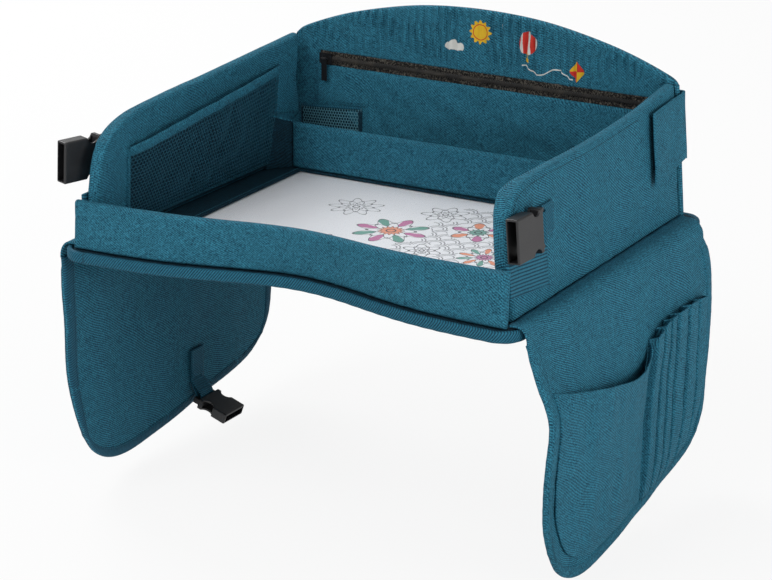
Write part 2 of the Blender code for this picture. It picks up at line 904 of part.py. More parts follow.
def wall_fastening(side, label, place, tilt_degrees):
    """Tab and buckle outside a side wall, and the loop patch for the flap."""
    out_axis = place(0, 0, 1) - place(0, 0, 0)
    up_axis = place(0, 1, 0) - place(0, 0, 0)
    seam = place(1, 0, 0) - place(0, 0, 0)
    bar = place(wall_bar_y, wall_bar_height, wall_thickness + wall_bar_drop)
    webbing_tab(
        label + "_buckle_tab",
        bar,
        seam,
        -out_axis,
        up_axis,
        wall_bar_drop,
        wall_tab_length,
        wall_webbing_width,
    )
    tilt = math.radians(tilt_degrees)
    ahead = -math.cos(tilt) * seam + math.sin(tilt) * out_axis
    flat = math.cos(tilt) * out_axis + math.sin(tilt) * seam
    buckle(
        label + "_buckle",
        bar,
        ahead,
        flat,
        up_axis,
        wall_buckle_length,
        wall_buckle_thickness,
        wall_webbing_width,
    )
    low = wall_thickness + clearance
    inset = fastener_inset
    block(
        label + "_loop_patch",
        (flap_front_y + inset, flap_seam_foot + inset, low),
        (fastener_back_y, flap_free_top - inset, low + fastener_thickness),
        place,
        DARK,
        0.95,
    )
    hook_low = low + fastener_thickness + clearance
    block(
        label + "_hook_patch",
        (flap_front_y + inset, flap_seam_foot + inset, hook_low),
        (fastener_back_y, flap_free_top - inset, hook_low + fastener_thickness),
        place,
        DARK,
        0.95,
    )
    flap_low = hook_low + fastener_thickness + clearance
    flap_patch = Patch(
        [(flap_front_y, flap_free_foot), (flap_back_y, flap_seam_foot)],
        [(flap_front_y, flap_free_top), (flap_back_y, flap_seam_top)],
        [(flap_front_y, flap_free_foot), (flap_front_y, flap_free_top)],
        [(flap_back_y, flap_seam_foot), (flap_back_y, flap_seam_top)],
    )
    flat_grid = flap_patch.at(
        spread(5, soft_edge, flap_back_y - flap_front_y),
        spread(4, soft_edge, flap_seam_top - flap_seam_foot),
    )
    fat = edge_factor(*flat_grid.shape[:2], 0.5)
    middle = flap_low + flap_thickness / 2
    half = flap_thickness / 2
    closed_skin(
        label + "_flap",
        grid_of(flat_grid, place, middle + half * fat),
        grid_of(flat_grid, place, middle - half * fat),
    )


for side, label, tilt_degrees, edge_shares, top_shares in (
    (-1, "left", left_buckle_tilt_degrees, left_wall_edge_shares, left_wall_top_shares),
    (1, "right", right_buckle_tilt_degrees, right_wall_edge_shares, right_wall_top_shares),
):
    place = wall_frame(side)
    stiff_panel(
        label + "_wall",
        wall_patch(edge_shares, top_shares),
        place,
        wall_length,
        wall_height,
        wall_thickness,
        wall_board_inset,
        board_thickness,
        11,
        5,
    )
    wall_pocket(side, label, place)
    corner_band(label, place)
    wall_fastening(side, label, place, tilt_degrees)

# Back wall
back_face_y = tray_depth - back_wall_thickness


def back_place(x, z, out):
    """out runs from the inner face of the back wall towards the back."""
    return np.array([x, back_face_y + out, z])


shoulder_z = back_top_shares[0][1] * back_wall_height
back_patch = Patch(
    [(-back_wall_half_width, wall_gap), (back_wall_half_width, wall_gap)],
    [(a * back_wall_shoulder, b * back_wall_height) for a, b in back_top_shares],
    [(-back_wall_half_width, wall_gap), (-back_wall_shoulder, shoulder_z)],
    [(back_wall_half_width, wall_gap), (back_wall_shoulder, shoulder_z)],
)
stiff_panel(
    "back_wall",
    back_patch,
    back_place,
    2 * back_wall_half_width,
    back_wall_height,
    back_wall_thickness,
    wall_board_inset,
    board_thickness,
    15,
    6,
)

# Zip across the back wall and the pocket panel under it
tape_out = -clearance
coil_half = zip_coil_height / 2
for label, low, high in (
    ("upper", coil_half + clearance, coil_half + clearance + zip_tape_height),
    ("lower", -coil_half - clearance - zip_tape_height, -coil_half - clearance),
):
    block(
        "zip_tape_" + label,
        (-zip_half_length, zip_height + low, tape_out - zip_tape_thickness),
        (zip_half_length, zip_height + high, tape_out),
        back_place,
        BLACK,
        0.8,
    )
block(
    "zip_coil",
    (-zip_half_length, zip_height - coil_half, tape_out - zip_coil_depth),
    (zip_half_length, zip_height + coil_half, tape_out),
    back_place,
    BLACK,
    0.45,
)
panel_top = zip_height - coil_half - zip_tape_height - clearance - zip_panel_gap
panel_columns = np.linspace(-zip_pocket_half_width, zip_pocket_half_width, 17)
panel_rows = np.array([0, 0.04, 0.35, 0.65, 0.96, 1])
front = np.zeros((len(panel_rows), len(panel_columns), 3))
back = front.copy()
for i, row in enumerate(panel_rows):
    for j, x in enumerate(panel_columns):
        z = zip_pocket_foot + row * (panel_top - zip_pocket_foot)
        stand = clearance + zip_pocket_bow * math.sin(math.pi * row)
        front[i, j] = back_place(x, z, -stand - zip_pocket_skin)
        back[i, j] = back_place(x, z, -stand)
closed_skin("zip_pocket_panel", front, back)

# Small net pocket low on the left of the back wall
net_stand = 2 * clearance + zip_pocket_bow + zip_pocket_skin + net_thickness / 2


def back_net_point(along, up):
    net_top = back_pocket_height - back_binding_height - clearance
    z = back_pocket_foot + up * (net_top - back_pocket_foot)
    share = up * net_top / back_pocket_height
    gap = net_stand + pocket_gap(along, share, back_pocket_depth)
    return back_place(back_pocket_left_x + along * back_pocket_width, z, -gap)


net("back_mesh_pocket", back_net_point, back_net_cells, np.array([0, 1.0, 0]))
columns = np.linspace(0, 1, back_net_cells[0] + 1)
front = np.zeros((3, len(columns), 3))
back = front.copy()
for i, row in enumerate((0, 0.5, 1)):
    for j, along in enumerate(columns):
        z = back_pocket_height - back_binding_height * (1 - row)
        half = net_thickness * (0.7 if i == 1 else 0.45)
        gap = net_stand + clearance + pocket_gap(along, z / back_pocket_height, back_pocket_depth)
        x = back_pocket_left_x + along * back_pocket_width
        front[i, j] = back_place(x, z, -gap - half)
        back[i, j] = back_place(x, z, -gap + half)
closed_skin("back_pocket_binding", front, back)

# Zip slider: a plate with two flanges over the coil, and a bail for the pull
coil_face = tape_out - zip_coil_depth
plate_back = coil_face - clearance
plate_front = plate_back - slider_plate
slider = block(
    "zip_slider",
    (slider_x - slider_length / 2, zip_height - slider_height / 2, plate_front),
    (
        slider_x + slider_length / 2,
        zip_height + slider_height / 2,
        tape_out - zip_tape_thickness - clearance,
    ),
    back_place,
    BLACK,
    0.35,
)
groove = block(
    "slider_groove",
    (slider_x - slider_length, zip_height - coil_half - 2 * clearance, plate_back),
    (slider_x + slider_length, zip_height + coil_half + 2 * clearance, slider_flange),
    back_place,
    hidden=True,
)
change(slider, groove, "DIFFERENCE")
bail_out = plate_front - slider_bail_reach
bail_half = slider_bail_length / 2
for side in (-1, 1):
    inner = slider_x + side * bail_half
    outer = slider_x + side * (bail_half - slider_post_length)
    post = block(
        "slider_post",
        (min(inner, outer), zip_height - slider_bail_radius, bail_out - slider_bail_radius),
        (max(inner, outer), zip_height + slider_bail_radius, plate_front + clearance),
        back_place,
    )
    change(slider, post, "UNION")
bail_end = bail_half - slider_post_length / 2
bail = rod(
    "slider_bail",
    back_place(slider_x - bail_end, zip_height, bail_out),
    back_place(slider_x + bail_end, zip_height, bail_out),
    (0, 0, 1),
    slider_bail_radius,
    8,
)
change(slider, bail, "UNION")

# Zip pull: a ring round the bail and a short tape below it
ring_steps = np.linspace(0, 2 * math.pi, 12, endpoint=False)


def ring_at(x, radius):
    return [
        back_place(x, zip_height + radius * math.cos(a), bail_out + radius * math.sin(a))
        for a in ring_steps
    ]


pull_half = pull_ring_length / 2
pull = swept(
    "zip_pull",
    [ring_at(slider_x - pull_half, pull_ring_radius), ring_at(slider_x + pull_half, pull_ring_radius)],
    colour=BLACK,
)
tape = block(
    "pull_tape",
    (
        slider_x - pull_tape_width / 2,
        zip_height - pull_tape_length,
        bail_out - pull_tape_thickness / 2,
    ),
    (
        slider_x + pull_tape_width / 2,
        zip_height - (pull_ring_hole + pull_ring_radius) / 2,
        bail_out + pull_tape_thickness / 2,
    ),
    back_place,
)
change(pull, tape, "UNION")
hole = swept(
    "pull_hole",
    [
        ring_at(slider_x - pull_tape_width, pull_ring_hole),
        ring_at(slider_x + pull_tape_width, pull_ring_hole),
    ],
    hidden=True,
)
change(pull, hole, "DIFFERENCE")


# Divider, with a soft gusset at each end
def divider_place(x, z, out):
    return np.array([x, divider_front_y + out, z])


divider_patch = Patch(
    [(-divider_half_width, wall_gap), (divider_half_width, wall_gap)],
    [(-divider_half_width, divider_height), (divider_half_width, divider_height)],
    [(-divider_half_width, wall_gap), (-divider_half_width, divider_height)],
    [(divider_half_width, wall_gap), (divider_half_width, divider_height)],
)
stiff_panel(
    "divider",
    divider_patch,
    divider_place,
    2 * divider_half_width,
    divider_height,
    divider_thickness,
    divider_board_inset,
    divider_board_thickness,
    9,
    4,
)
for side, label in ((-1, "left"), (1, "right")):
    place = wall_frame(side)
    rows = np.array([0, 0.5, 1])
    columns = np.linspace(0, 1, 6)
    front = np.zeros((3, 6, 3))
    back = front.copy()
    for i, row in enumerate(rows):
        z = wall_gap + row * (divider_height - gusset_drop)
        inner = np.array([side * (divider_half_width + 2 * clearance), divider_front_y, z])
        inner[1] += divider_thickness / 2
        outer = place(divider_front_y, z, -2 * clearance)
        for j, along in enumerate(columns):
            middle = inner + (outer - inner) * along
            middle[1] += gusset_sag * math.sin(math.pi * along) * 0.5
            drop = gusset_sag * math.sin(math.pi * along) * row * 0.5
            front[i, j] = middle + np.array([0, -gusset_thickness / 2, -drop])
            back[i, j] = middle + np.array([0, gusset_thickness / 2, -drop])
    closed_skin(label + "_divider_gusset", front, back, DARK, 0.85)

# Wing lips: fabric from the foot of each side wall over the edge of the base
for side, label in ((-1, "left"), (1, "right")):
    sections = []
    corner_y = wall_front_y - 2 * lip_gap
    for y in (lip_front_y, corner_y, wall_front_y, (wall_front_y + lip_back_y) / 2, lip_back_y):
        seam_x = front_width / 2 - toe * y + 2 * lip_gap
        if y < wall_front_y:
            seam_x = front_wall_half_width + lip_gap
        end_x = front_width / 2 + lip_reach
        lip_low = binding_rise + lip_rise + lip_thickness
        line = []
        for along, down in lip_line_shares:
            x = seam_x + along * (end_x - seam_x)
            line.append((x, lip_low - down * (lip_low + lip_drop)))
        line = smooth(line, np.linspace(0, 1, 9))
        step = np.gradient(line, axis=0)
        step /= np.linalg.norm(step, axis=1)[:, None]
        under = line + np.stack([step[:, 1], -step[:, 0]], 1) * lip_thickness
        under[0, 0] = seam_x
        under[-1, 1] = line[-1, 1]
        section = list(line) + list(under[::-1])
        sections.append([(side * x, y, z) for x, z in section])
    swept(label + "_wing_lip", sections)


# Wings
def wing_curve(shares, drop):
    return [(wing_front_y + a * wing_length, wing_top_z - b * drop) for a, b in shares]


def wing_frame(side, drop, belly, belly_back):
    """Place (y, z, out) points; out is 0 in the middle of the wing's thickness."""
    depths = [share[0] for share in wing_belly_shares]
    sizes = [share[1] for share in wing_belly_shares]

    def place(y, z, out):
        down = (wing_top_z - z) / drop
        back = (y - wing_front_y) / wing_length
        bow = np.interp(down, depths, sizes) * (belly + (belly_back - belly) * back)
        return np.array([side * (wing_axis_x + bow + out), y, z])

    return place


def wing(label, place, drop):
    patch = Patch(
        wing_curve([wing_front_shares[0], wing_back_shares[0]], drop),
        wing_curve(wing_bottom_shares, drop),
        wing_curve(wing_front_shares, drop),
        wing_curve(wing_back_shares, drop),
    )
    columns = np.linspace(0, 1, 12)
    rows = np.array([0, 0.07, 0.15, 0.23, 0.31, 0.4, 0.52, 0.64, 0.76, 0.88, 1])
    near = wing_hem_length_share
    bottom = 1 - wing_hem_drop_share
    gap_along = wing_gap / wing_length
    gap_down = wing_gap / drop
    inner_along = near + gap_along + columns * (1 - 2 * near - 2 * gap_along)
    flat = patch.at(inner_along, rows * (bottom - gap_down))
    half = wing_thickness / 2
    fat = np.ones(flat.shape[:2])
    fat[0, :] = 0.5
    closed_skin(
        label + "_wing_panel",
        grid_of(flat, place, half * fat),
        grid_of(flat, place, -half * fat),
    )
    rim_outer = patch.at(columns, rows)
    rim_inner = patch.at(near + columns * (1 - 2 * near), rows * bottom)
    last = len(rows) - 1
    steps = [(i, 0) for i in range(last)]
    steps += [(last, j) for j in range(12)]
    steps += [(i, 11) for i in range(last - 1, -1, -1)]
    half = wing_binding_thickness / 2
    sections = []
    for i, j in steps:
        a = rim_inner[i, j]
        b = rim_outer[i, j]
        c = a + (b - a) * 0.8
        thick = half * (0.5 if i == 0 else 1)
        sections.append(
            [
                place(*a, thick),
                place(*c, thick),
                place(*b, half * 0.35),
                place(*b, -half * 0.35),
                place(*c, -thick),
                place(*a, -thick),
            ]
        )
    swept(label + "_wing_binding", sections)


def book_pocket(label, place, drop):
    patch = Patch(
        wing_curve(pocket_top_shares, drop),
        wing_curve(pocket_foot_shares, drop),
        wing_curve(pocket_front_shares, drop),
        wing_curve(pocket_edge_shares, drop),
    )
    columns = np.linspace(0, 1, 12)
    rows = np.linspace(0, 1, 7)
    flat = patch.at(columns, rows)
    along = np.sin(math.pi * columns) ** 0.6
    down = np.maximum(0, np.cos(math.pi / 2 * rows)) ** 0.6
    low = wing_thickness / 2 + wing_pocket_gap + book_pocket_bulge * np.outer(down, along)
    front = grid_of(flat, place, low + wing_skin)
    closed_skin(label + "_book_pocket", front, grid_of(flat, place, low))


def pen_sleeves(label, place, drop):
    patch = Patch(
        wing_curve(sleeve_top_shares, drop),
        wing_curve(sleeve_foot_shares, drop),
        wing_curve(sleeve_front_shares, drop),
        wing_curve(sleeve_back_shares, drop),
    )
    widths = np.array(sleeve_width_shares) / sum(sleeve_width_shares)
    edges = np.concatenate([[0], np.cumsum(widths)])
    columns = []
    steps = []
    for first, last in zip(edges[:-1], edges[1:]):
        for step in np.linspace(0, 1, 5, endpoint=False):
            columns.append(first + (last - first) * step)
            steps.append(step)
    columns.append(1)
    steps.append(0)
    rows = np.array([0, 0.3, 0.6, 0.85, 1])
    flat = patch.at(columns, rows)
    fade = np.maximum(0, np.cos(math.pi / 2 * np.maximum(0, (rows - 0.5) * 2))) ** 0.6
    bulge = np.outer(fade, np.sin(math.pi * np.array(steps)) ** 0.7)
    low = wing_thickness / 2 + sleeve_gap + sleeve_bulge * bulge
    front = grid_of(flat, place, low + sleeve_skin)
    closed_skin(label + "_pen_sleeves", front, grid_of(flat, place, low))


def leg_fastening(side, label, place):
    """Tab and buckle inside a wing, for a strap under the seat."""
    face = place(leg_bar_y, leg_bar_z, -wing_binding_thickness / 2)
    inward = np.array([-side, 0, 0.0])
    bar = face + leg_bar_drop * inward
    along = np.array([0, 1.0, 0])
    tail = np.array([0, 0, 1.0])
    webbing_tab(
        label + "_leg_tab",
        bar,
        tail,
        -inward,
        along,
        leg_bar_drop,
        leg_tab_length,
        leg_webbing_width,
    )
    angle = math.radians(leg_buckle_angle_degrees)
    ahead = math.sin(angle) * inward - math.cos(angle) * tail
    flat = math.cos(angle) * inward + math.sin(angle) * tail
    buckle(
        label + "_leg_buckle",
        bar,
        ahead,
        flat,
        along,
        leg_buckle_length,
        leg_buckle_thickness,
        leg_webbing_width,
    )


for side, label, drop, belly, belly_back in (
    (-1, "left", left_wing_drop, left_wing_belly, left_wing_belly_back),
    (1, "right", right_wing_drop, right_wing_belly, right_wing_belly_back),
):
    place = wing_frame(side, drop, belly, belly_back)
    wing(label, place, drop)
    book_pocket(label, place, drop)
    leg_fastening(side, label, place)
    if side > 0:
        pen_sleeves(label, place, drop)
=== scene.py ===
# Looks of a fabric play tray for a car seat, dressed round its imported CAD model.
# Lengths are metres. trayOrigin is the CAD's own zero, the middle of the foot of the front wall.
import math

import bmesh
import bpy
import numpy as np
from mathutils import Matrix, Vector


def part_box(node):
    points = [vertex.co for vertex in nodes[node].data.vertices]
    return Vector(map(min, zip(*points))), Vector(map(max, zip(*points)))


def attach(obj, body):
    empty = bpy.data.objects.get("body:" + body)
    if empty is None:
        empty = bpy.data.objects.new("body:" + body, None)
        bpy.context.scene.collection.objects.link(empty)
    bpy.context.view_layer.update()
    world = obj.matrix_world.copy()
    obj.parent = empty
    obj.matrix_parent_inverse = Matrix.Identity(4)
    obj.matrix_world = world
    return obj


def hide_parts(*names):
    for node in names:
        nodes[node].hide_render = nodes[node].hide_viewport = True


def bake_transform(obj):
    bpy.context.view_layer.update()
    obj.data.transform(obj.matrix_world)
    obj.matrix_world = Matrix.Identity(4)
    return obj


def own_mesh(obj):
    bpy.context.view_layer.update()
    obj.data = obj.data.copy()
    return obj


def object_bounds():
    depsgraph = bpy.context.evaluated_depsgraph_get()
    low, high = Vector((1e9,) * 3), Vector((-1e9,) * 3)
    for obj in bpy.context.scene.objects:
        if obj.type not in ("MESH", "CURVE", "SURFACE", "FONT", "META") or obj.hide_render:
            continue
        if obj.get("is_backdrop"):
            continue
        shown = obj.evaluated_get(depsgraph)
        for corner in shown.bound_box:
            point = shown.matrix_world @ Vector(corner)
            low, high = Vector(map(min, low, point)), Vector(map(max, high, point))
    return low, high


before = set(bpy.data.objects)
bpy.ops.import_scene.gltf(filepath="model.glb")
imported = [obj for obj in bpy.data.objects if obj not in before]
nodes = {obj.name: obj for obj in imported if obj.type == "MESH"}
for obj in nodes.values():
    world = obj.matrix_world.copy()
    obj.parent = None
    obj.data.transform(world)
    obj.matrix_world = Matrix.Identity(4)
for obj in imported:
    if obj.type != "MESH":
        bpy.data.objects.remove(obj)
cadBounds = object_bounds()
print("frame loaded:", len(nodes), "nodes")

trayOrigin = np.array([0, 0.1595, -0.011])
clearance = 0.0003


# Camera, at the photograph's viewing angle
cameraLook = {
    "azimuth": 30.2,
    "elevation": 18.81,
    "place": (1.2006, -2.0660, 0.7739),
    "focalPixels": 3000,
    "widePixels": 772,
}


def makeCamera(look):
    azimuth = math.radians(look["azimuth"])
    elevation = math.radians(look["elevation"])
    data = bpy.data.cameras.new("camera")
    data.sensor_width = 36
    data.lens = look["focalPixels"] / look["widePixels"] * data.sensor_width
    data.clip_start = 0.05
    data.clip_end = 60
    camera = bpy.data.objects.new("camera", data)
    level = math.cos(elevation)
    ahead = Vector((-math.sin(azimuth) * level, math.cos(azimuth) * level, -math.sin(elevation)))
    camera.location = look["place"]
    camera.rotation_euler = ahead.to_track_quat("-Z", "Y").to_euler()
    bpy.context.scene.collection.objects.link(camera)
    bpy.context.scene.camera = camera


makeCamera(cameraLook)


# Shader maths written as Python expressions
class Wire:
    def __init__(self, paint, socket):
        self.paint = paint
        self.socket = socket

    def math(self, operation, *others):
        return self.paint.node("ShaderNodeMath", {"operation": operation}, [self, *others])

    def turned(self, operation, other):
        return self.paint.node("ShaderNodeMath", {"operation": operation}, [other, self])

    def __add__(self, other):
        return self.math("ADD", other)

    def __radd__(self, other):
        return self.math("ADD", other)

    def __sub__(self, other):
        return self.math("SUBTRACT", other)

    def __rsub__(self, other):
        return self.turned("SUBTRACT", other)

    def __mul__(self, other):
        return self.math("MULTIPLY", other)

    def __rmul__(self, other):
        return self.math("MULTIPLY", other)

    def __truediv__(self, other):
        return self.math("DIVIDE", other)

    def __lt__(self, other):
        return self.math("LESS_THAN", other)

    def __gt__(self, other):
        return self.math("GREATER_THAN", other)

    def __abs__(self):
        return self.math("ABSOLUTE")

    def sin(self):
        return self.math("SINE")

    def cos(self):
        return self.math("COSINE")

    def most(self, other):
        return self.math("MAXIMUM", other)

    def least(self, other):
        return self.math("MINIMUM", other)

    def fraction(self):
        return self.math("FRACT")

    def whole(self):
        return self.math("FLOOR")

    def angleTo(self, other):
        return self.math("ARCTAN2", other)

    def root(self):
        return self.math("SQRT")

    def ramp(self, low, high):
        settings = {"interpolation_type": "SMOOTHSTEP"}
        return self.paint.node("ShaderNodeMapRange", settings, {"Value": self, 1: low, 2: high})


class Paint:
    def __init__(self, name, roughness=0.8):
        self.material = bpy.data.materials.new(name)
        self.material.use_nodes = True
        self.tree = self.material.node_tree
        self.shader = self.tree.nodes["Principled BSDF"]
        self.shader.inputs["Roughness"].default_value = roughness

    def feed(self, socket, value):
        if isinstance(value, Wire):
            self.tree.links.new(value.socket, socket)
        elif isinstance(value, tuple) and len(value) == 3 and socket.type == "RGBA":
            socket.default_value = (*value, 1)
        else:
            socket.default_value = value

    def node(self, kind, settings, inputs, output=0):
        made = self.tree.nodes.new(kind)
        for key, value in settings.items():
            setattr(made, key, value)
        pairs = inputs.items() if isinstance(inputs, dict) else enumerate(inputs)
        for key, value in pairs:
            self.feed(made.inputs[key], value)
        return Wire(self, made.outputs[output])

    def spot(self):
        # place on the cloth in metres, along and across its cut
        both = self.node("ShaderNodeUVMap", {"uv_map": "cloth"}, [])
        apart = self.node("ShaderNodeSeparateXYZ", {}, [both]).socket.node
        return Wire(self, apart.outputs[0]), Wire(self, apart.outputs[1])

    def point(self):
        return self.node("ShaderNodeTexCoord", {}, [], "Object")

    def noise(self, scale, detail=3.0, place=None):
        inputs = {"Vector": place or self.point(), "Scale": scale, "Detail": detail}
        return self.node("ShaderNodeTexNoise", {}, inputs)

    def mix(self, factor, first, second, kind="MIX"):
        settings = {"data_type": "RGBA", "blend_type": kind}
        return self.node("ShaderNodeMix", settings, {0: factor, 6: first, 7: second}, 2)

    def set(self, **values):
        names = {"colour": "Base Color", "coat": "Coat Weight", "specular": "Specular IOR Level"}
        for key, value in values.items():
            self.feed(self.shader.inputs[names.get(key, key.capitalize())], value)

    def bump(self, height, depth, strength=1.0):
        inputs = {"Height": height, "Distance": depth, "Strength": strength}
        self.feed(self.shader.inputs["Normal"], self.node("ShaderNodeBump", {}, inputs))


def shade(red, green, blue):
    # a colour as a screen shows it, 0 to 255
    return tuple(((v / 255 + 0.055) / 1.055) ** 2.4 if v > 10 else v / 3295 for v in (red, green, blue))


# Woven polyester: a plain weave with a soft mottle
def wovenColour(paint, look):
    u, v = paint.spot()
    turn = math.pi / look["pitch"]
    waver = paint.noise(look["waverScale"], 2.0) * look["waver"]
    across = (u * turn + waver).sin()
    along = (v * turn + waver).sin()
    over = (across * along) > 0
    warp = abs(across) * (abs(along) * 0.4 + 0.6)
    weft = abs(along) * (abs(across) * 0.4 + 0.6)
    height = over * warp + (1 - over) * weft
    mottle = paint.noise(look["mottleScale"], 4.0)
    slub = paint.noise(look["slubScale"], 2.0)
    # threads of two layers beat against each other, which leaves fine lines that swirl
    swirl = paint.noise(look["swirlScale"], 1.0) * look["swirl"]
    beat = ((u * 0.55 + v * 0.83) * (2 * math.pi / look["beatPitch"]) + swirl).sin()
    tone = height * look["weave"] + over * look["twist"] + (mottle - 0.5) * look["mottle"]
    tone = tone + (slub - 0.5) * look["slub"] + beat * look["watered"] + look["level"]
    tone = tone.most(0.0).least(1.0)
    return paint.mix(tone, look["deep"], look["bright"]), height


def wovenCloth(name, look):
    paint = Paint(name, look["roughness"])
    colour, height = wovenColour(paint, look)
    paint.set(colour=colour, roughness=1.0 - height * (1 - look["roughness"]), specular=look["shine"])
    paint.bump(height, look["relief"])
    return paint.material


tealLook = {
    "deep": shade(2, 42, 64),
    "bright": shade(64, 152, 180),
    "pitch": 0.0012,
    "weave": 0.45,
    "twist": 0.15,
    "mottle": 0.28,
    "mottleScale": 110.0,
    "slub": 1.45,
    "slubScale": 700.0,
    "level": 0.13,
    "waver": 1.6,
    "waverScale": 60.0,
    "beatPitch": 0.0018,
    "swirl": 75.0,
    "swirlScale": 13.0,
    "watered": 0.20,
    "roughness": 0.75,
    "shine": 0.25,
    "relief": 0.0004,
}
wateredLook = dict(tealLook, watered=0.30)
# dark lining cloth for the underside and small tapes; the same cloth is also painted shade where parts
# sit in shadow: the floor round the window, the gussets, behind the nets and in the sleeve grooves
darkLiningAndPaintedShadeLook = dict(tealLook, deep=shade(2, 18, 28), bright=shade(24, 74, 94))
webbingLook = {
    "deep": shade(4, 44, 64),
    "bright": shade(50, 134, 162),
    "ribPitch": 0.0024,
    "crossPitch": 0.0011,
    "slant": 0.8,
    "speckle": 0.5,
    "roughness": 0.75,
    "shine": 0.25,
    "relief": 0.0005,
}
# black zip tape: its pale speckles are partly the tape's texture and partly painted glints for light
# catching the teeth
zipGlintWebbingLook = dict(
    webbingLook, deep=shade(8, 8, 8), bright=shade(128, 122, 112), ribPitch=0.0014, speckle=3.4
)
bandWebbingLook = dict(
    webbingLook, deep=shade(3, 44, 64), bright=shade(56, 140, 168), ribPitch=0.0028, slant=0.12
)


def ribbedWebbing(name, look):
    paint = Paint(name, look["roughness"])
    u, v = paint.spot()
    rib = abs(((u + v * look["slant"]) * (math.pi / look["ribPitch"])).sin())
    cross = abs((v * (math.pi / look["crossPitch"])).sin())
    height = rib * (cross * 0.3 + 0.7)
    tone = height * 0.75 + (paint.noise(620.0, 2.0) - 0.5) * look["speckle"]
    tone = (tone - 0.12 * look["speckle"]).most(0.0).least(1.0)
    paint.set(colour=paint.mix(tone, look["deep"], look["bright"]), specular=look["shine"])
    paint.bump(height, look["relief"])
    return paint.material


threadLook = {"roughness": 0.6, "twistScale": 1500.0, "deepShare": 0.6, "shine": 0.3}


def plainThread(name, colour, look):
    paint = Paint(name, look["roughness"])
    twist = paint.noise(look["twistScale"], 2.0)
    deep = tuple(c * look["deepShare"] for c in colour)
    paint.set(colour=paint.mix(twist, deep, colour), specular=look["shine"])
    return paint.material


netLook = {"deep": shade(8, 50, 66), "bright": shade(44, 112, 136), "roughness": 0.6}


def knittedNet(name, look):
    paint = Paint(name, look["roughness"])
    tone = paint.noise(900.0, 2.0)
    paint.set(colour=paint.mix(tone, look["deep"], look["bright"]), specular=0.3)
    paint.bump(tone, 0.0002)
    return paint.material


plasticLook = {"colour": shade(30, 30, 32), "wornAndGlint": shade(52, 52, 55), "grain": 2600.0}


def mouldedPlastic(name, look):
    paint = Paint(name, 0.42)
    grain = paint.noise(look["grain"], 2.0)
    # paler patches: wear on the buckles, painted glints on the zip's coil
    wearAndGlint = paint.noise(45.0, 5.0).ramp(0.45, 0.75)
    paint.set(colour=paint.mix(wearAndGlint * 0.35, look["colour"], look["wornAndGlint"]))
    paint.set(roughness=grain * 0.2 + wearAndGlint * 0.08 + 0.33)
    paint.bump(grain, 0.00006)
    return paint.material


enamelLook = {
    "black": shade(22, 22, 24),
    "chipped": shade(84, 84, 88),
    "chipScale": 900.0,
    "rubScale": 300.0,
}


def blackEnamel(name, look):
    paint = Paint(name, 0.3)
    chips = paint.noise(look["chipScale"], 4.0).ramp(0.62, 0.7)
    paint.set(colour=paint.mix(chips, look["black"], look["chipped"]), metallic=chips * 0.6)
    paint.set(roughness=paint.noise(look["rubScale"]) * 0.2 + 0.25)
    return paint.material


filmLook = {
    "colour": (0.9, 0.94, 0.97),
    "alpha": 0.05,
    "coat": 0.3,
    "waveScale": 14.0,
    "relief": 0.0008,
}


def clearFilm(name, look):
    paint = Paint(name, 0.12)
    wave = paint.noise(look["waveScale"], 2.0)
    paint.set(colour=look["colour"], alpha=look["alpha"], coat=look["coat"])
    paint.set(roughness=wave * 0.12 + 0.05)
    paint.bump(wave, look["relief"])
    return paint.material


# Paper with a plain colouring pattern: rosettes, some of them filled, and rows of arcs
paperLook = {
    "white": shade(250, 251, 255),
    "ink": shade(44, 46, 60),
    "line": 0.0007,
    "rosettes": [
        # x, y, radius, petals, turn
        (-0.004, 0.012, 0.033, 8, 0.2),
        (0.062, 0.044, 0.025, 6, 0.5),
        (0.098, -0.012, 0.023, 10, 0.1),
        (0.014, 0.074, 0.021, 7, 0.9),
        (-0.064, 0.056, 0.024, 9, 0.4),
        (0.045, -0.022, 0.017, 6, 0.0),
        (-0.044, -0.044, 0.022, 8, 0.6),
    ],
    "fills": [shade(34, 150, 128), shade(196, 74, 150), shade(240, 130, 60)],
    "cell": 0.018,
    "field": (0.016, 0.146, -0.095, 0.100),
}


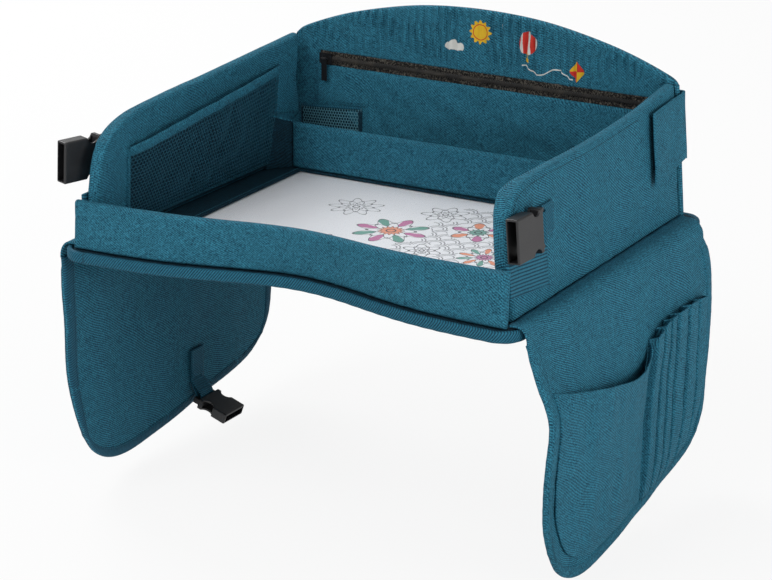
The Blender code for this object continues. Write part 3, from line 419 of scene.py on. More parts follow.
def colouringPaper(name, look):
    paint = Paint(name, 0.75)
    u, v = paint.spot()
    line = look["line"]
    fills = look["fills"]
    ink = None
    colour = look["white"]
    near = None
    for k, (x, y, radius, petals, turn) in enumerate(look["rosettes"]):
        dx = u - x
        dy = v - y
        reach = (dx * dx + dy * dy).root()
        around = dy.angleTo(dx)
        lobe = (around * petals + turn).cos()
        fine = (around * (2 * petals) + turn).cos()
        rings = [
            abs(reach - (lobe * (0.2 * radius) + 0.8 * radius)),
            abs(reach - (lobe * (-0.13 * radius) + 0.52 * radius)),
            abs(reach - (fine * (0.05 * radius) + 0.3 * radius)),
            abs(reach - 0.12 * radius),
        ]
        for ring in rings:
            mark = ring < line
            ink = mark if ink is None else ink.most(mark)
        if k < len(fills):
            petal = (reach < (lobe * (0.2 * radius) + 0.8 * radius)) * (lobe > 0.2)
            petal = petal * (reach > (lobe * (-0.13 * radius) + 0.52 * radius))
            turned = (around * (petals / 2) + turn / 2).cos() > 0.0
            pair = paint.mix(turned, fills[k], fills[(k + 1) % len(fills)])
            colour = paint.mix(petal * 0.85, colour, pair)
            core = (reach < (fine * (0.05 * radius) + 0.3 * radius)) * 0.8
            colour = paint.mix(core, colour, fills[(k + 2) % len(fills)])
        inside = reach < radius * 1.04
        near = inside if near is None else near.most(inside)
    # rows of overlapping arcs fill the right of the page
    cell = look["cell"]
    row = (v / (cell * 0.5)).whole()
    shift = (row * 0.5).fraction()
    du = ((u / cell + shift).fraction() - 0.5) * cell
    dv = (v / (cell * 0.5)).fraction() * (cell * 0.5)
    span = (du * du + dv * dv).root()
    arcs = (abs(span - cell * 0.46) < line * 0.8).most(abs(span - cell * 0.3) < line * 0.8)
    left, right, low, high = look["field"]
    arcs = arcs * (u > left) * (u < right) * (v > low) * (v < high) * (1 - near)
    ink = ink.most(arcs * 0.8)
    paint.set(colour=paint.mix(ink * 0.85, colour, look["ink"]))
    return paint.material


# Small print on the arch of the back wall: a sun, a balloon, a kite with its tail and a cloud
printLook = {
    "yellow": shade(236, 190, 48),
    "red": shade(214, 58, 48),
    "white": shade(232, 232, 226),
    "sun": (0.000, 0.1375, 0.0078),
    "balloon": (0.046, 0.1335, 0.0086),
    "kite": (0.094, 0.1145, 0.0092),
    "cloud": (-0.026, 0.1215),
    "rays": 12,
    "balloonSquash": 0.86,
    "puffs": [(-0.0055, 0, 0.0036), (0, 0.0016, 0.0048), (0.006, 0.0002, 0.0038)],
}


def printedCloth(name, look, art):
    paint = Paint(name, look["roughness"])
    colour, height = wovenColour(paint, look)
    u, v = paint.spot()

    def ring(x, y, stretch=1.0):
        dx = u - x
        dy = (v - y) * stretch
        return (dx * dx + dy * dy).root(), dx, dy

    x, y, radius = art["sun"]
    reach, dx, dy = ring(x, y)
    rays = (dy.angleTo(dx) * art["rays"]).cos()
    colour = paint.mix(reach < (rays * (0.16 * radius) + 1.22 * radius), colour, art["yellow"])
    colour = paint.mix(abs(reach - 0.86 * radius) < 0.0004, colour, art["red"])
    x, y, radius = art["balloon"]
    reach, dx, dy = ring(x, y, art["balloonSquash"])
    stripe = (dx * (math.pi / (0.42 * radius))).sin() > 0
    stripes = paint.mix(stripe, art["red"], art["white"])
    colour = paint.mix(reach < radius, colour, stripes)
    basket = (abs(dx) < 0.0021) * (abs(v - (y - 1.75 * radius)) < 0.0017)
    ropes = (abs(abs(dx) - (v - (y - 1.55 * radius)) * 0.34) < 0.0003) * (v < y - radius)
    ropes = ropes * (v > y - 1.6 * radius)
    colour = paint.mix(basket.most(ropes), colour, art["yellow"])
    x, y, radius = art["kite"]
    _, dx, dy = ring(x, y)
    diamond = (abs(dx) * 1.3 + abs(dy)) < radius
    quarter = (dx * dy) > 0
    colour = paint.mix(diamond, colour, paint.mix(quarter, art["yellow"], art["red"]))
    tail = abs(v - (y - 0.004 + (u * 190.0).sin() * 0.0035)) < 0.00055
    tail = tail * (u < x - 0.004) * (u > x - 0.052)
    colour = paint.mix(tail, colour, art["white"])
    x, y = art["cloud"]
    cloud = None
    for shift, lift, size in art["puffs"]:
        reach, _, _ = ring(x + shift, y + lift)
        puff = reach < size
        cloud = puff if cloud is None else cloud.most(puff)
    colour = paint.mix(cloud * (v > y - 0.0028), colour, art["white"])
    paint.set(colour=colour, roughness=1.0 - height * (1 - look["roughness"]), specular=look["shine"])
    paint.bump(height, look["relief"])
    return paint.material


teal = wovenCloth("tealCloth", tealLook)
wateredTeal = wovenCloth("wateredCloth", wateredLook)
darkLiningAndPaintedShade = wovenCloth("darkLiningAndPaintedShadeCloth", darkLiningAndPaintedShadeLook)
printed = printedCloth("printedCloth", tealLook, printLook)
webbing = ribbedWebbing("ribbedWebbing", webbingLook)
zipTape = ribbedWebbing("zipTapeGlintCloth", zipGlintWebbingLook)
bandWebbing = ribbedWebbing("bandWebbing", bandWebbingLook)
net = knittedNet("knittedNet", netLook)
paleNetLook = dict(netLook, deep=shade(24, 84, 104), bright=shade(120, 186, 204))
paleNet = knittedNet("paleNet", paleNetLook)
thread = plainThread("stitchThread", shade(52, 128, 154), threadLook)
darkThread = plainThread("darkThread", shade(10, 52, 68), threadLook)
plastic = mouldedPlastic("bucklePlastic", plasticLook)
# the coil's pale patches are painted glints on the teeth
coilLook = {"colour": shade(40, 38, 36), "wornAndGlint": shade(128, 118, 104), "grain": 900.0}
coilPlastic = mouldedPlastic("coilPlastic", coilLook)
enamel = blackEnamel("zipEnamel", enamelLook)
film = clearFilm("windowFilm", filmLook)
paper = colouringPaper("colouringPaper", paperLook)
print("materials made")


# Mesh helpers
curveSteps = 16
rimLeast = 0.04


def smoothLine(points, shares):
    points = np.array(points, float)
    if len(points) == 2:
        return points[0] + np.outer(shares, points[1] - points[0])
    ends = np.vstack([2 * points[0] - points[1], points, 2 * points[-1] - points[-2]])
    fine = []
    for k in range(1, len(ends) - 2):
        a, b, c, d = ends[k - 1 : k + 3]
        for t in np.linspace(0, 1, curveSteps, endpoint=False):
            bend = 2 * a - 5 * b + 4 * c - d
            turn = 3 * b - a - 3 * c + d
            fine.append((2 * b + (c - a) * t + bend * t * t + turn * t**3) / 2)
    fine = np.array(fine + [points[-1]])
    run = np.linalg.norm(np.diff(fine, axis=0), axis=1)
    run = np.concatenate([[0], np.cumsum(run)]) / run.sum()
    return np.stack([np.interp(shares, run, column) for column in fine.T], 1)


def patchGrid(sides, along, up):
    # places over a flat patch between its low, high, near and far curves
    low, high, near, far = sides
    s = np.asarray(along)[None, :, None]
    t = np.asarray(up)[:, None, None]
    lines = (1 - t) * smoothLine(low, along)[None] + t * smoothLine(high, along)[None]
    lines = lines + (1 - s) * smoothLine(near, up)[:, None] + s * smoothLine(far, up)[:, None]
    a, b, c, d = (np.array(p, float) for p in (low[0], low[-1], high[0], high[-1]))
    flat = lines - ((1 - s) * (1 - t) * a + s * (1 - t) * b + (1 - s) * t * c + s * t * d)
    return flat[..., 0], flat[..., 1]


def steps(length, pitch, edge):
    # shares of a length, closer together near both ends
    near = edge * np.array([0, 0.04, 0.15, 0.32, 0.6, 1])
    count = max(2, round((length - 2 * edge) / pitch))
    middle = np.linspace(edge, length - edge, count + 1)[1:-1]
    return np.concatenate([near, middle, length - near[::-1]]) / length


def roundRim(along, up, length, height, radius, sides="nearFarLowHigh"):
    # share of the full thickness: round at the named sides of a patch
    s = np.asarray(along)[None, :] * length
    t = np.asarray(up)[:, None] * height
    gap = np.full((len(up), len(along)), 1.0)
    for name, distance in (("near", s), ("Far", length - s), ("Low", t), ("High", height - t)):
        if name in sides:
            gap = np.minimum(gap, distance)
    inside = np.clip(gap / radius, 0, 1)
    return rimLeast + (1 - rimLeast) * np.sqrt(np.maximum(0, 1 - (1 - inside) ** 2))


def ripple(a, b, size, seed, stretch=1.0, waves=11):
    # soft random waves of about this size
    draw = np.random.default_rng(seed)
    total = np.zeros(np.broadcast(a, b).shape)
    for _ in range(waves):
        angle = draw.uniform(0, 2 * math.pi)
        length = size * draw.uniform(0.6, 1.8)
        phase = draw.uniform(0, 2 * math.pi)
        run = a * math.cos(angle) * stretch + b * math.sin(angle)
        total = total + np.sin(2 * math.pi * run / length + phase)
    return total / math.sqrt(waves)


def addPiece(name, points, faces, spots, material, body, stands=(), crease=None):
    mesh = bpy.data.meshes.new(name)
    mesh.from_pydata((np.asarray(points) - trayOrigin).tolist(), [], faces)
    layer = mesh.uv_layers.new(name="cloth")
    corners = np.zeros(len(mesh.loops), np.int32)
    mesh.loops.foreach_get("vertex_index", corners)
    layer.data.foreach_set("uv", np.asarray(spots, np.float32)[corners].ravel())
    work = bmesh.new()
    work.from_mesh(mesh)
    bmesh.ops.recalc_face_normals(work, faces=work.faces)
    work.to_mesh(mesh)
    work.free()
    mesh.shade_smooth()
    if crease:
        mesh.set_sharp_from_angle(angle=math.radians(crease))
    mesh.materials.append(material)
    piece = bpy.data.objects.new(name, mesh)
    bpy.context.scene.collection.objects.link(piece)
    if stands:
        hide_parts(*stands)
    if body:
        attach(piece, body)
    return piece


def rimOf(rows, columns):
    rim = [(0, j) for j in range(columns)]
    rim += [(i, columns - 1) for i in range(1, rows)]
    rim += [(rows - 1, j) for j in range(columns - 2, -1, -1)]
    rim += [(i, 0) for i in range(rows - 2, 0, -1)]
    return rim


def stretched(spots, front):
    # adds what the cloth runs out of its plane, so that its threads keep their size over a rim
    spots = np.array(spots, float)
    for axis, column in ((1, 0), (0, 1)):
        true = np.linalg.norm(np.diff(front, axis=axis), axis=-1)
        flat = np.linalg.norm(np.diff(spots, axis=axis), axis=-1)
        extra = np.cumsum(np.maximum(0, true - flat), axis)
        extra = np.concatenate([np.zeros_like(np.take(extra, [0], axis)), extra], axis)
        middle = np.take(extra, [extra.shape[axis] // 2], axis)
        ends = np.take(spots[..., column], [0, -1], axis)
        heading = np.sign(np.diff(ends, axis=axis).mean())
        spots[..., column] += heading * (extra - middle)
    return spots


def addSkin(name, front, back, spots, material, body, stands=(), crease=None, rear=None):
    # a closed form between two grids of points, a rear cloth leaves the front's print flat
    rows, columns = front.shape[:2]
    if not rear:
        spots = stretched(spots, front)
    index = np.arange(2 * rows * columns).reshape(2, rows, columns)
    faces = []
    for side in index:
        quads = np.stack([side[:-1, :-1], side[:-1, 1:], side[1:, 1:], side[1:, :-1]], -1)
        faces += quads.reshape(-1, 4).tolist()
    rim = rimOf(rows, columns)
    for a, b in zip(rim, rim[1:] + rim[:1]):
        faces.append([int(index[0][a]), int(index[0][b]), int(index[1][b]), int(index[1][a])])
    points = np.concatenate([front.reshape(-1, 3), back.reshape(-1, 3)])
    both = np.concatenate([spots.reshape(-1, 2)] * 2)
    piece = addPiece(name, points, faces, both, material, body, stands, crease)
    if rear:
        piece.data.materials.append(rear)
        for face in piece.data.polygons[(rows - 1) * (columns - 1) :]:
            face.material_index = 1
    return piece


def declareCut(piece, front, solid=1.0):
    # a sheet whose cut is measured along its own threads, solid is the share that isn't holes
    wide = np.linalg.norm(np.diff(front, axis=1), axis=-1).sum(1).max()
    tall = np.linalg.norm(np.diff(front, axis=0), axis=-1).sum(0).max()
    across = front[:-1, 1:] - front[:-1, :-1]
    along = front[1:, :-1] - front[:-1, :-1]
    area = np.linalg.norm(np.cross(across, along), axis=-1).sum()
    print("cut of", piece.name, round(wide * 1000), "by", round(tall * 1000), "mm")
    area = min(area, wide * tall) * solid


def addTube(name, sections, material, body, stands=(), loop=False, crease=None):
    # a form along closed cross sections, cloth runs along it
    sections = np.asarray(sections, float)
    count, around = sections.shape[:2]
    index = np.arange(count * around).reshape(count, around)
    following = np.roll(index, -1, axis=1)
    last = count if loop else count - 1
    faces = []
    for i in range(last):
        n = (i + 1) % count
        quads = np.stack([index[i], following[i], following[n], index[n]], -1)
        faces += quads.tolist()
    if not loop:
        faces += [index[0].tolist(), index[-1].tolist()]
    middle = sections.mean(1)
    run = np.concatenate([[0], np.cumsum(np.linalg.norm(np.diff(middle, axis=0), axis=1))])
    girth = np.linalg.norm(np.diff(sections[0], axis=0), axis=1)
    girth = np.concatenate([[0], np.cumsum(girth)])
    spots = np.stack(np.broadcast_arrays(run[:, None], girth[None, :]), -1)
    points = sections.reshape(-1, 3)
    return addPiece(
        name, points, faces, spots.reshape(-1, 2), material, body, stands, crease
    )


def gridSpots(a, b):
    return np.stack(np.broadcast_arrays(a, b), -1)


stitchLook = {"length": 0.0025, "pitch": 0.0034, "thick": 0.00032}


def addStitches(name, lines, body, material=None, ply=None):
    # each line is (points, normals): small thread humps that stand on the cloth
    points = []
    faces = []
    for route, normals in lines:
        route = np.asarray(route, float)
        normals = np.asarray(normals, float)
        run = np.concatenate([[0], np.cumsum(np.linalg.norm(np.diff(route, axis=0), axis=1))])
        count = int(run[-1] / stitchLook["pitch"])
        for k in range(count):
            start = (k + 0.15) * stitchLook["pitch"]
            rings = []
            for share, lift, fat in ((0, -0.6, 0.4), (0.25, 0.5, 1), (0.75, 0.5, 1), (1, -0.6, 0.4)):
                at = start + share * stitchLook["length"]
                centre = np.array([np.interp(at, run, column) for column in route.T])
                up = np.array([np.interp(at, run, column) for column in normals.T])
                up = up / np.linalg.norm(up)
                rings.append((centre + up * lift * stitchLook["thick"], up, fat))
            heading = rings[-1][0] - rings[0][0]
            heading = heading / max(1e-9, np.linalg.norm(heading))
            first = len(points)
            for centre, up, fat in rings:
                side = np.cross(heading, up)
                reach = fat * stitchLook["thick"]
                points += [centre + up * reach, centre + side * reach]
                points += [centre - up * reach, centre - side * reach]
            for ring in range(3):
                for j in range(4):
                    a = first + 4 * ring + j
                    b = first + 4 * ring + (j + 1) % 4
                    faces.append([a, b, b + 4, a + 4])
            faces.append([first, first + 1, first + 2, first + 3])
            faces.append([first + 12, first + 13, first + 14, first + 15])
    spots = np.zeros((len(points), 2))
    points = np.array(points)
    piece = addPiece(name, points, faces, spots, material or thread, None)
    if ply:
        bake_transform(piece)
    else:
        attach(piece, body)
    return piece


def seamOn(place, line, out, count=60):
    # a stitch route over a placed surface, with its normals
    flat = smoothLine(line, np.linspace(0, 1, count))
    a, b = flat[:, 0], flat[:, 1]
    low = place(a, b, np.full(count, out))
    high = place(a, b, np.full(count, out) + np.sign(out + 1e-9) * 0.001)
    return low, high - low


def ellipse(half, thick, count=10):
    turn = np.linspace(0, 2 * math.pi, count, endpoint=False)
    return np.stack([half * np.cos(turn), thick * np.sin(turn)], 1)


# Base: floor cloth round the window, its binding, underside, film and paper
baseLook = {
    "halfWidth": 0.212,
    "frontY": -0.017,
    "backY": 0.336,
    "corner": 0.020,
    "frontDip": 0.031,
    "dipSpread": 0.092,
    "thickness": 0.011,
    "undersideThickness": 0.0056,
    "floorThickness": 0.0015,
    "bindingWidth": 0.005,
    "bindingRise": 0.0004,
    "bindingHeight": 0.0096,
    "windowHalf": 0.160,
    "windowFront": 0.046,
    "windowBack": 0.2795,
    "facingInset": 0.02,
    "stitchInset": 0.0035,
    "undersideShift": 0.012,
    "undersideCrown": 0.0012,
}


def dip(x, depth, width):
    return depth * np.exp(-((x / width) ** 2))


def padOutline(inset, count=420):
    # evenly spaced points round the base, starting at the front left corner
    look = baseLook
    flat = look["halfWidth"] - look["corner"]
    lift = dip(flat, look["frontDip"], look["dipSpread"])
    front = look["frontY"] + look["corner"] + lift
    points = []
    for x in np.linspace(-flat, flat, 60)[1:-1]:
        points.append((x, look["frontY"] + inset + dip(x, look["frontDip"], look["dipSpread"])))
    rear = look["backY"] - look["corner"]
    for side, middle, start in ((1, front, -90), (1, rear, 0), (-1, rear, 90), (-1, front, 180)):
        for turn in np.linspace(start, start + 90, 12):
            reach = look["corner"] - inset
            x = side * flat + reach * math.cos(math.radians(turn))
            points.append((x, middle + reach * math.sin(math.radians(turn))))
    points = np.array(points + points[:1])
    run = np.linalg.norm(np.diff(points, axis=0), axis=1)
    run = np.concatenate([[0], np.cumsum(run)])
    at = np.linspace(0, run[-1], count, endpoint=False)
    return np.stack([np.interp(at, run, column) for column in points.T], 1)


def windowOutline(grow, count=420):
    # the window's edge, each point facing the same point of the base's outline
    look = baseLook
    rim = padOutline(look["facingInset"], count)
    centre = np.array([0, (look["windowFront"] + look["windowBack"]) / 2])
    half = np.array([look["windowHalf"], (look["windowBack"] - look["windowFront"]) / 2]) + grow
    away = rim - centre
    outerHalf = np.array([look["halfWidth"], (look["backY"] - look["frontY"]) / 2])
    outerHalf = outerHalf - look["facingInset"]
    scaled = away / outerHalf
    return centre + scaled / np.abs(scaled).max(1)[:, None] * half


def ringed(outlines, heights):
    points = [np.column_stack([o, np.full(len(o), h)]) for o, h in zip(outlines, heights)]
    return np.array(points)


def dressBase():
    look = baseLook
    inner = windowOutline(0)
    outer = padOutline(look["bindingWidth"] + clearance)
    shares = np.array([0, 0.02, 0.06, 0.14, 0.25, 0.4, 0.55, 0.7, 0.85, 1])
    ring = [inner + (outer - inner) * s for s in shares]
    puff = [0, 0.0003, 0.0004, 0.0001, 0.0001, 0.0001, 0.0001, 0.0001, 0, -0.0002]
    top = ringed(ring, puff)
    top[..., 2] += ripple(top[..., 0], top[..., 1], 0.05, 3) * 0.00012
    low = ringed(ring[::-1], [-look["floorThickness"]] * len(ring))
    sections = np.concatenate([top, low]).transpose(1, 0, 2)
    count, around = sections.shape[:2]
    index = np.arange(count * around).reshape(count, around)
    faces = []
    for i in range(count):
        n = (i + 1) % count
        follow = np.roll(index, -1, axis=1)
        faces += np.stack([index[i], follow[i], follow[n], index[n]], -1).tolist()
    points = sections.reshape(-1, 3)
    stands = ("base_floor",)
    # the floor cloth takes the dark cloth: painted shade for the shadow the walls cast along their feet
    piece = addPiece("floorClothPaintedShade", points, faces, points[:, :2], darkLiningAndPaintedShade, "base", stands, 50)
    edge = windowOutline(look["stitchInset"])
    route = np.column_stack([edge, np.full(len(edge), 0.0004)])
    route = np.vstack([route, route[:1]])
    addStitches("windowStitches", [(route, np.tile([0, 0, 1.0], (len(route), 1)))], "base")
    # underside, a stiff padded sheet with a crowned edge
    rings = []
    heights = []
    foot = -look["thickness"]
    full = padOutline(look["bindingWidth"] + clearance)
    centre = np.array([0, (look["frontY"] + look["backY"]) / 2 + look["undersideShift"]])
    for share in (0.02, 0.3, 0.6, 0.85, 0.96, 0.99, 1):
        rings.append(centre + (full - centre) * share)
        heights.append(foot + (look["undersideCrown"] if share == 1 else 0))
    for share in (1, 0.98, 0.5, 0.02):
        rings.append(centre + (full - centre) * share)
        heights.append(foot + look["undersideThickness"])
    sections = ringed(rings, heights)
    count, around = sections.shape[:2]
    index = np.arange(count * around).reshape(count, around)
    faces = []
    for i in range(count - 1):
        follow = np.roll(index, -1, axis=1)
        faces += np.stack([index[i], follow[i], follow[i + 1], index[i + 1]], -1).tolist()
    faces += [index[0].tolist(), index[-1].tolist()]
    points = sections.reshape(-1, 3)
    stands = ("base_underside",)
    piece = addPiece(
        "undersideCloth", points, faces, points[:, :2], darkLiningAndPaintedShade, "base", stands, 50
    )
    # ribbed binding round the edge
    turn = np.linspace(0, 2 * math.pi, 14, endpoint=False)
    height = look["bindingHeight"]
    middle = look["bindingRise"] - height / 2
    rings = []
    for a in turn:
        share = math.cos(a)
        inset = look["bindingWidth"] / 2 * (1 + np.sign(share) * abs(share) ** 0.6)
        lift = np.sign(math.sin(a)) * abs(math.sin(a)) ** 0.7 * height / 2
        outline = padOutline(inset, 900)
        rings.append(np.column_stack([outline, np.full(len(outline), middle + lift)]))
    sections = np.array(rings).transpose(1, 0, 2)
    wave = 1 + 0.02 * np.sin(np.arange(len(sections)) * math.pi * 2 / 9)
    centres = sections.mean(1, keepdims=True)
    sections = centres + (sections - centres) * wave[:, None, None]
    sections[..., 2] = np.maximum(sections[..., 2], -look["thickness"] + 0.0002)
    addTube("edgeBinding", sections, webbing, "base", ("base_binding",), True)


dressBase()
nodes["window_film"].data.materials.clear()
nodes["window_film"].data.materials.append(film)


def dressPaper():
    low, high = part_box("drawing_sheet")
    a = np.linspace(low.x, high.x, 40)
    b = np.linspace(low.y, high.y, 28) + trayOrigin[1]
    across, along = np.meshgrid(a, b)
    lift = ripple(across, along, 0.12, 8) * 0.00005
    top = high.z + trayOrigin[2]
    front = np.stack([across, along, top + lift - 0.00006], -1)
    back = front - [0, 0, high.z - low.z]
    spots = gridSpots(across, along - trayOrigin[1])
    stands = ("drawing_sheet",)
    piece = addSkin("colouringSheet", front, back, spots, paper, "base", stands, 40)
    declareCut(piece, front)


dressPaper()
print("base dressed")


# Walls at the sides, each a padded cover with a net pocket inside
wallLook = {
    "frontWidth": 0.400,
    "backWidth": 0.388,
    "depth": 0.326,
    "thickness": 0.010,
    "frontY": 0.0050,
    "backY": 0.3146,
    "height": 0.116,
    "gap": 0.0006,
    "lean": {-1: 3.0, 1: 4.0},
    "edge": {
        -1: [(0.010, 0), (0.004, 0.30), (0.008, 0.45), (0.018, 0.60), (0.044, 0.73)],
        1: [(0.009, 0), (0, 0.37), (0, 0.52), (0.003, 0.65), (0.010, 0.75), (0.034, 0.835)],
    },
    "top": {
        -1: [(0.044, 0.73), (0.088, 0.81), (0.153, 0.87), (0.27, 0.905)]
        + [(0.51, 0.935), (0.77, 0.97), (0.98, 1)],
        1: [(0.034, 0.835), (0.069, 0.880), (0.126, 0.908), (0.25, 0.916)]
        + [(0.50, 0.912), (0.77, 0.937), (1.004, 1)],
    },
    "seam": {
        -1: [(1, 0), (1, 0.25), (0.99, 0.5), (0.98, 0.61), (0.98, 0.8), (0.98, 1)],
        1: [(1.004, 0), (1.004, 0.5), (1.004, 1)],
    },
    "rim": 0.0042,
    "topRim": 0.0030,
    "footRim": 0.0034,
    "farRim": 0.0016,
    "seamInset": 0.0058,
    "roll": {-1: 0.0015, 1: 0.0062},
    "rollReach": 0.030,
    "swellReach": 0.009,
    "pitch": 0.0032,
}
toe = (wallLook["frontWidth"] - wallLook["backWidth"]) / 2 / wallLook["depth"]


def wallPlace(side):
    look = wallLook
    lean = math.radians(look["lean"][side])
    seam = np.array([-side * toe, 1, 0]) / math.hypot(toe, 1)
    outward = np.array([side * seam[1], -side * seam[0], 0])
    upAxis = math.cos(lean) * np.array([0, 0, 1.0]) - math.sin(lean) * outward
    outAxis = math.cos(lean) * outward + math.sin(lean) * np.array([0, 0, 1.0])
    start = np.array([side * (look["frontWidth"] / 2 - look["thickness"]), 0, look["gap"]])

    def place(along, up, out):
        along, up, out = np.broadcast_arrays(along, up, out)
        return start + along[..., None] * seam + up[..., None] * upAxis + out[..., None] * outAxis

    return place


def topSeam(edge, top, inset):
    # a line that runs inside the front and top outline of a wall
    flat = smoothLine(edge[-2:] + top[1:-1], np.linspace(0, 1, 90))
    heading = np.gradient(flat, axis=0)
    heading /= np.linalg.norm(heading, axis=1)[:, None]
    inside = flat + inset * np.stack([heading[:, 1], -heading[:, 0]], 1)
    return inside[:, 0], inside[:, 1]


def dressWall(side, label, place):
    look = wallLook
    length = look["backY"] - look["frontY"]
    height = look["height"]

    def spot(share):
        return (look["frontY"] + share[0] * length, share[1] * height)

    edge = [spot(s) for s in look["edge"][side]]
    top = [spot(s) for s in look["top"][side]]
    seam = [spot(s) for s in look["seam"][side]]
    along = steps(length, look["pitch"], look["rim"])
    up = steps(height, look["pitch"], look["rim"])
    a, b = patchGrid([[edge[0], seam[0]], top, edge, seam], along, up)
    fat = roundRim(along, up, length, height, look["rim"], "near")
    fat = np.minimum(fat, roundRim(along, up, length, height, look["topRim"], "High"))
    fat = np.minimum(fat, roundRim(along, up, length, height, look["footRim"], "Low"))
    fat = np.minimum(fat, roundRim(along, up, length, height, look["farRim"], "Far"))
    calm = np.clip(fat, 0, 1)
    half = look["thickness"] / 2

    def softness(y, z):
        return ripple(y, z, 0.07, 11 + side) * 0.0003 + ripple(y, z, 0.018, 21 + side) * 0.00012

    crease = ripple(a, b, 0.012, 31 + side, 0.4) * 0.00018 * np.exp(-b / 0.012)
    outer = half + half * fat + (softness(a, b) + crease) * calm
    inner = half - half * fat - (ripple(a, b, 0.06, 41 + side) * 0.00025) * calm
    # the front end is a fat roll that swells towards the tray
    ahead = np.maximum(0, a - a[:, :1])
    rise = np.clip(ahead / look["swellReach"], 0, 1)
    swell = np.sqrt(rise * (2 - rise))
    inner = inner - look["roll"][side] * swell * np.exp(-((ahead / look["rollReach"]) ** 2))
    front = place(a, b, outer)
    back = place(a, b, inner)
    name = label + "WallCover"
    stands = (label + "_wall_cover",)
    body = label + "_wall"
    cloth = wateredTeal if side > 0 else teal
    piece = addSkin(name, front, back, gridSpots(a, b), cloth, body, stands)
    a, b = topSeam(edge, top, look["seamInset"])
    low = place(a, b, look["thickness"] + softness(a, b))
    normals = place(a, b, look["thickness"] + softness(a, b) + 0.001) - low
    addStitches(label + "TopStitches", [(low, normals)], body, material=darkThread)


pocketLook = {
    "frontY": 0.050,
    "backY": 0.274,
    "foot": 0.006,
    "frontHeight": 0.0745,
    "backHeight": 0.0955,
    "arch": 0.004,
    "depth": 0.0095,
    "bindingHeight": 0.0085,
    "bindingThickness": 0.0030,
    "netThickness": 0.0010,
    "cell": 0.0038,
}


def pocketStand(along, up, depth):
    along = np.clip(along, 0, 1)
    up = np.clip(up, 0, 1)
    return depth * np.sin(math.pi * along) ** 0.6 * np.sin(math.pi / 2 * up) ** 0.8


def addNet(name, width, height, cell, thickness, point, body, stands, material):
    # a hexagonal net over a unit patch, point turns shares into places
    columns = max(4, round(width / cell))
    rows = max(4, round(height / (cell * 0.87)))
    work = bmesh.new()
    made = {}

    def corner(a, b):
        a = min(1.0, max(0.0, a / columns))
        b = min(1.0, max(0.0, b / rows))
        key = (round(a * 1e5), round(b * 1e5))
        if key not in made:
            made[key] = work.verts.new(point(np.array(a), np.array(b)) - trayOrigin)
        return made[key]

    third = 1 / 3
    for i in range(rows + 1):
        for j in range(-1, columns + 1):
            x = j + 0.5 * (i % 2)
            ring = [(x, i - 2 * third), (x + 0.5, i - third), (x + 0.5, i + third)]
            ring += [(x, i + 2 * third), (x - 0.5, i + third), (x - 0.5, i - third)]
            corners = []
            for a, b in ring:
                vertex = corner(a, b)
                if vertex not in corners:
                    corners.append(vertex)
            if len(corners) > 2:
                try:
                    work.faces.new(corners)
                except ValueError:
                    continue
    bmesh.ops.recalc_face_normals(work, faces=work.faces)
    bmesh.ops.wireframe(
        work,
        faces=work.faces,
        thickness=thickness,
        use_replace=True,
        use_boundary=True,
        use_even_offset=False,
    )
    mesh = bpy.data.meshes.new(name)
    work.to_mesh(mesh)
    work.free()
    mesh.shade_smooth()
    mesh.materials.append(material)
    piece = bpy.data.objects.new(name, mesh)
    bpy.context.scene.collection.objects.link(piece)
    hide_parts(*stands)
    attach(piece, body)
    a, b = np.meshgrid(np.linspace(0, 1, 30), np.linspace(0, 1, 16))
    declareCut(piece, point(a, b), 0.7)
    return piece


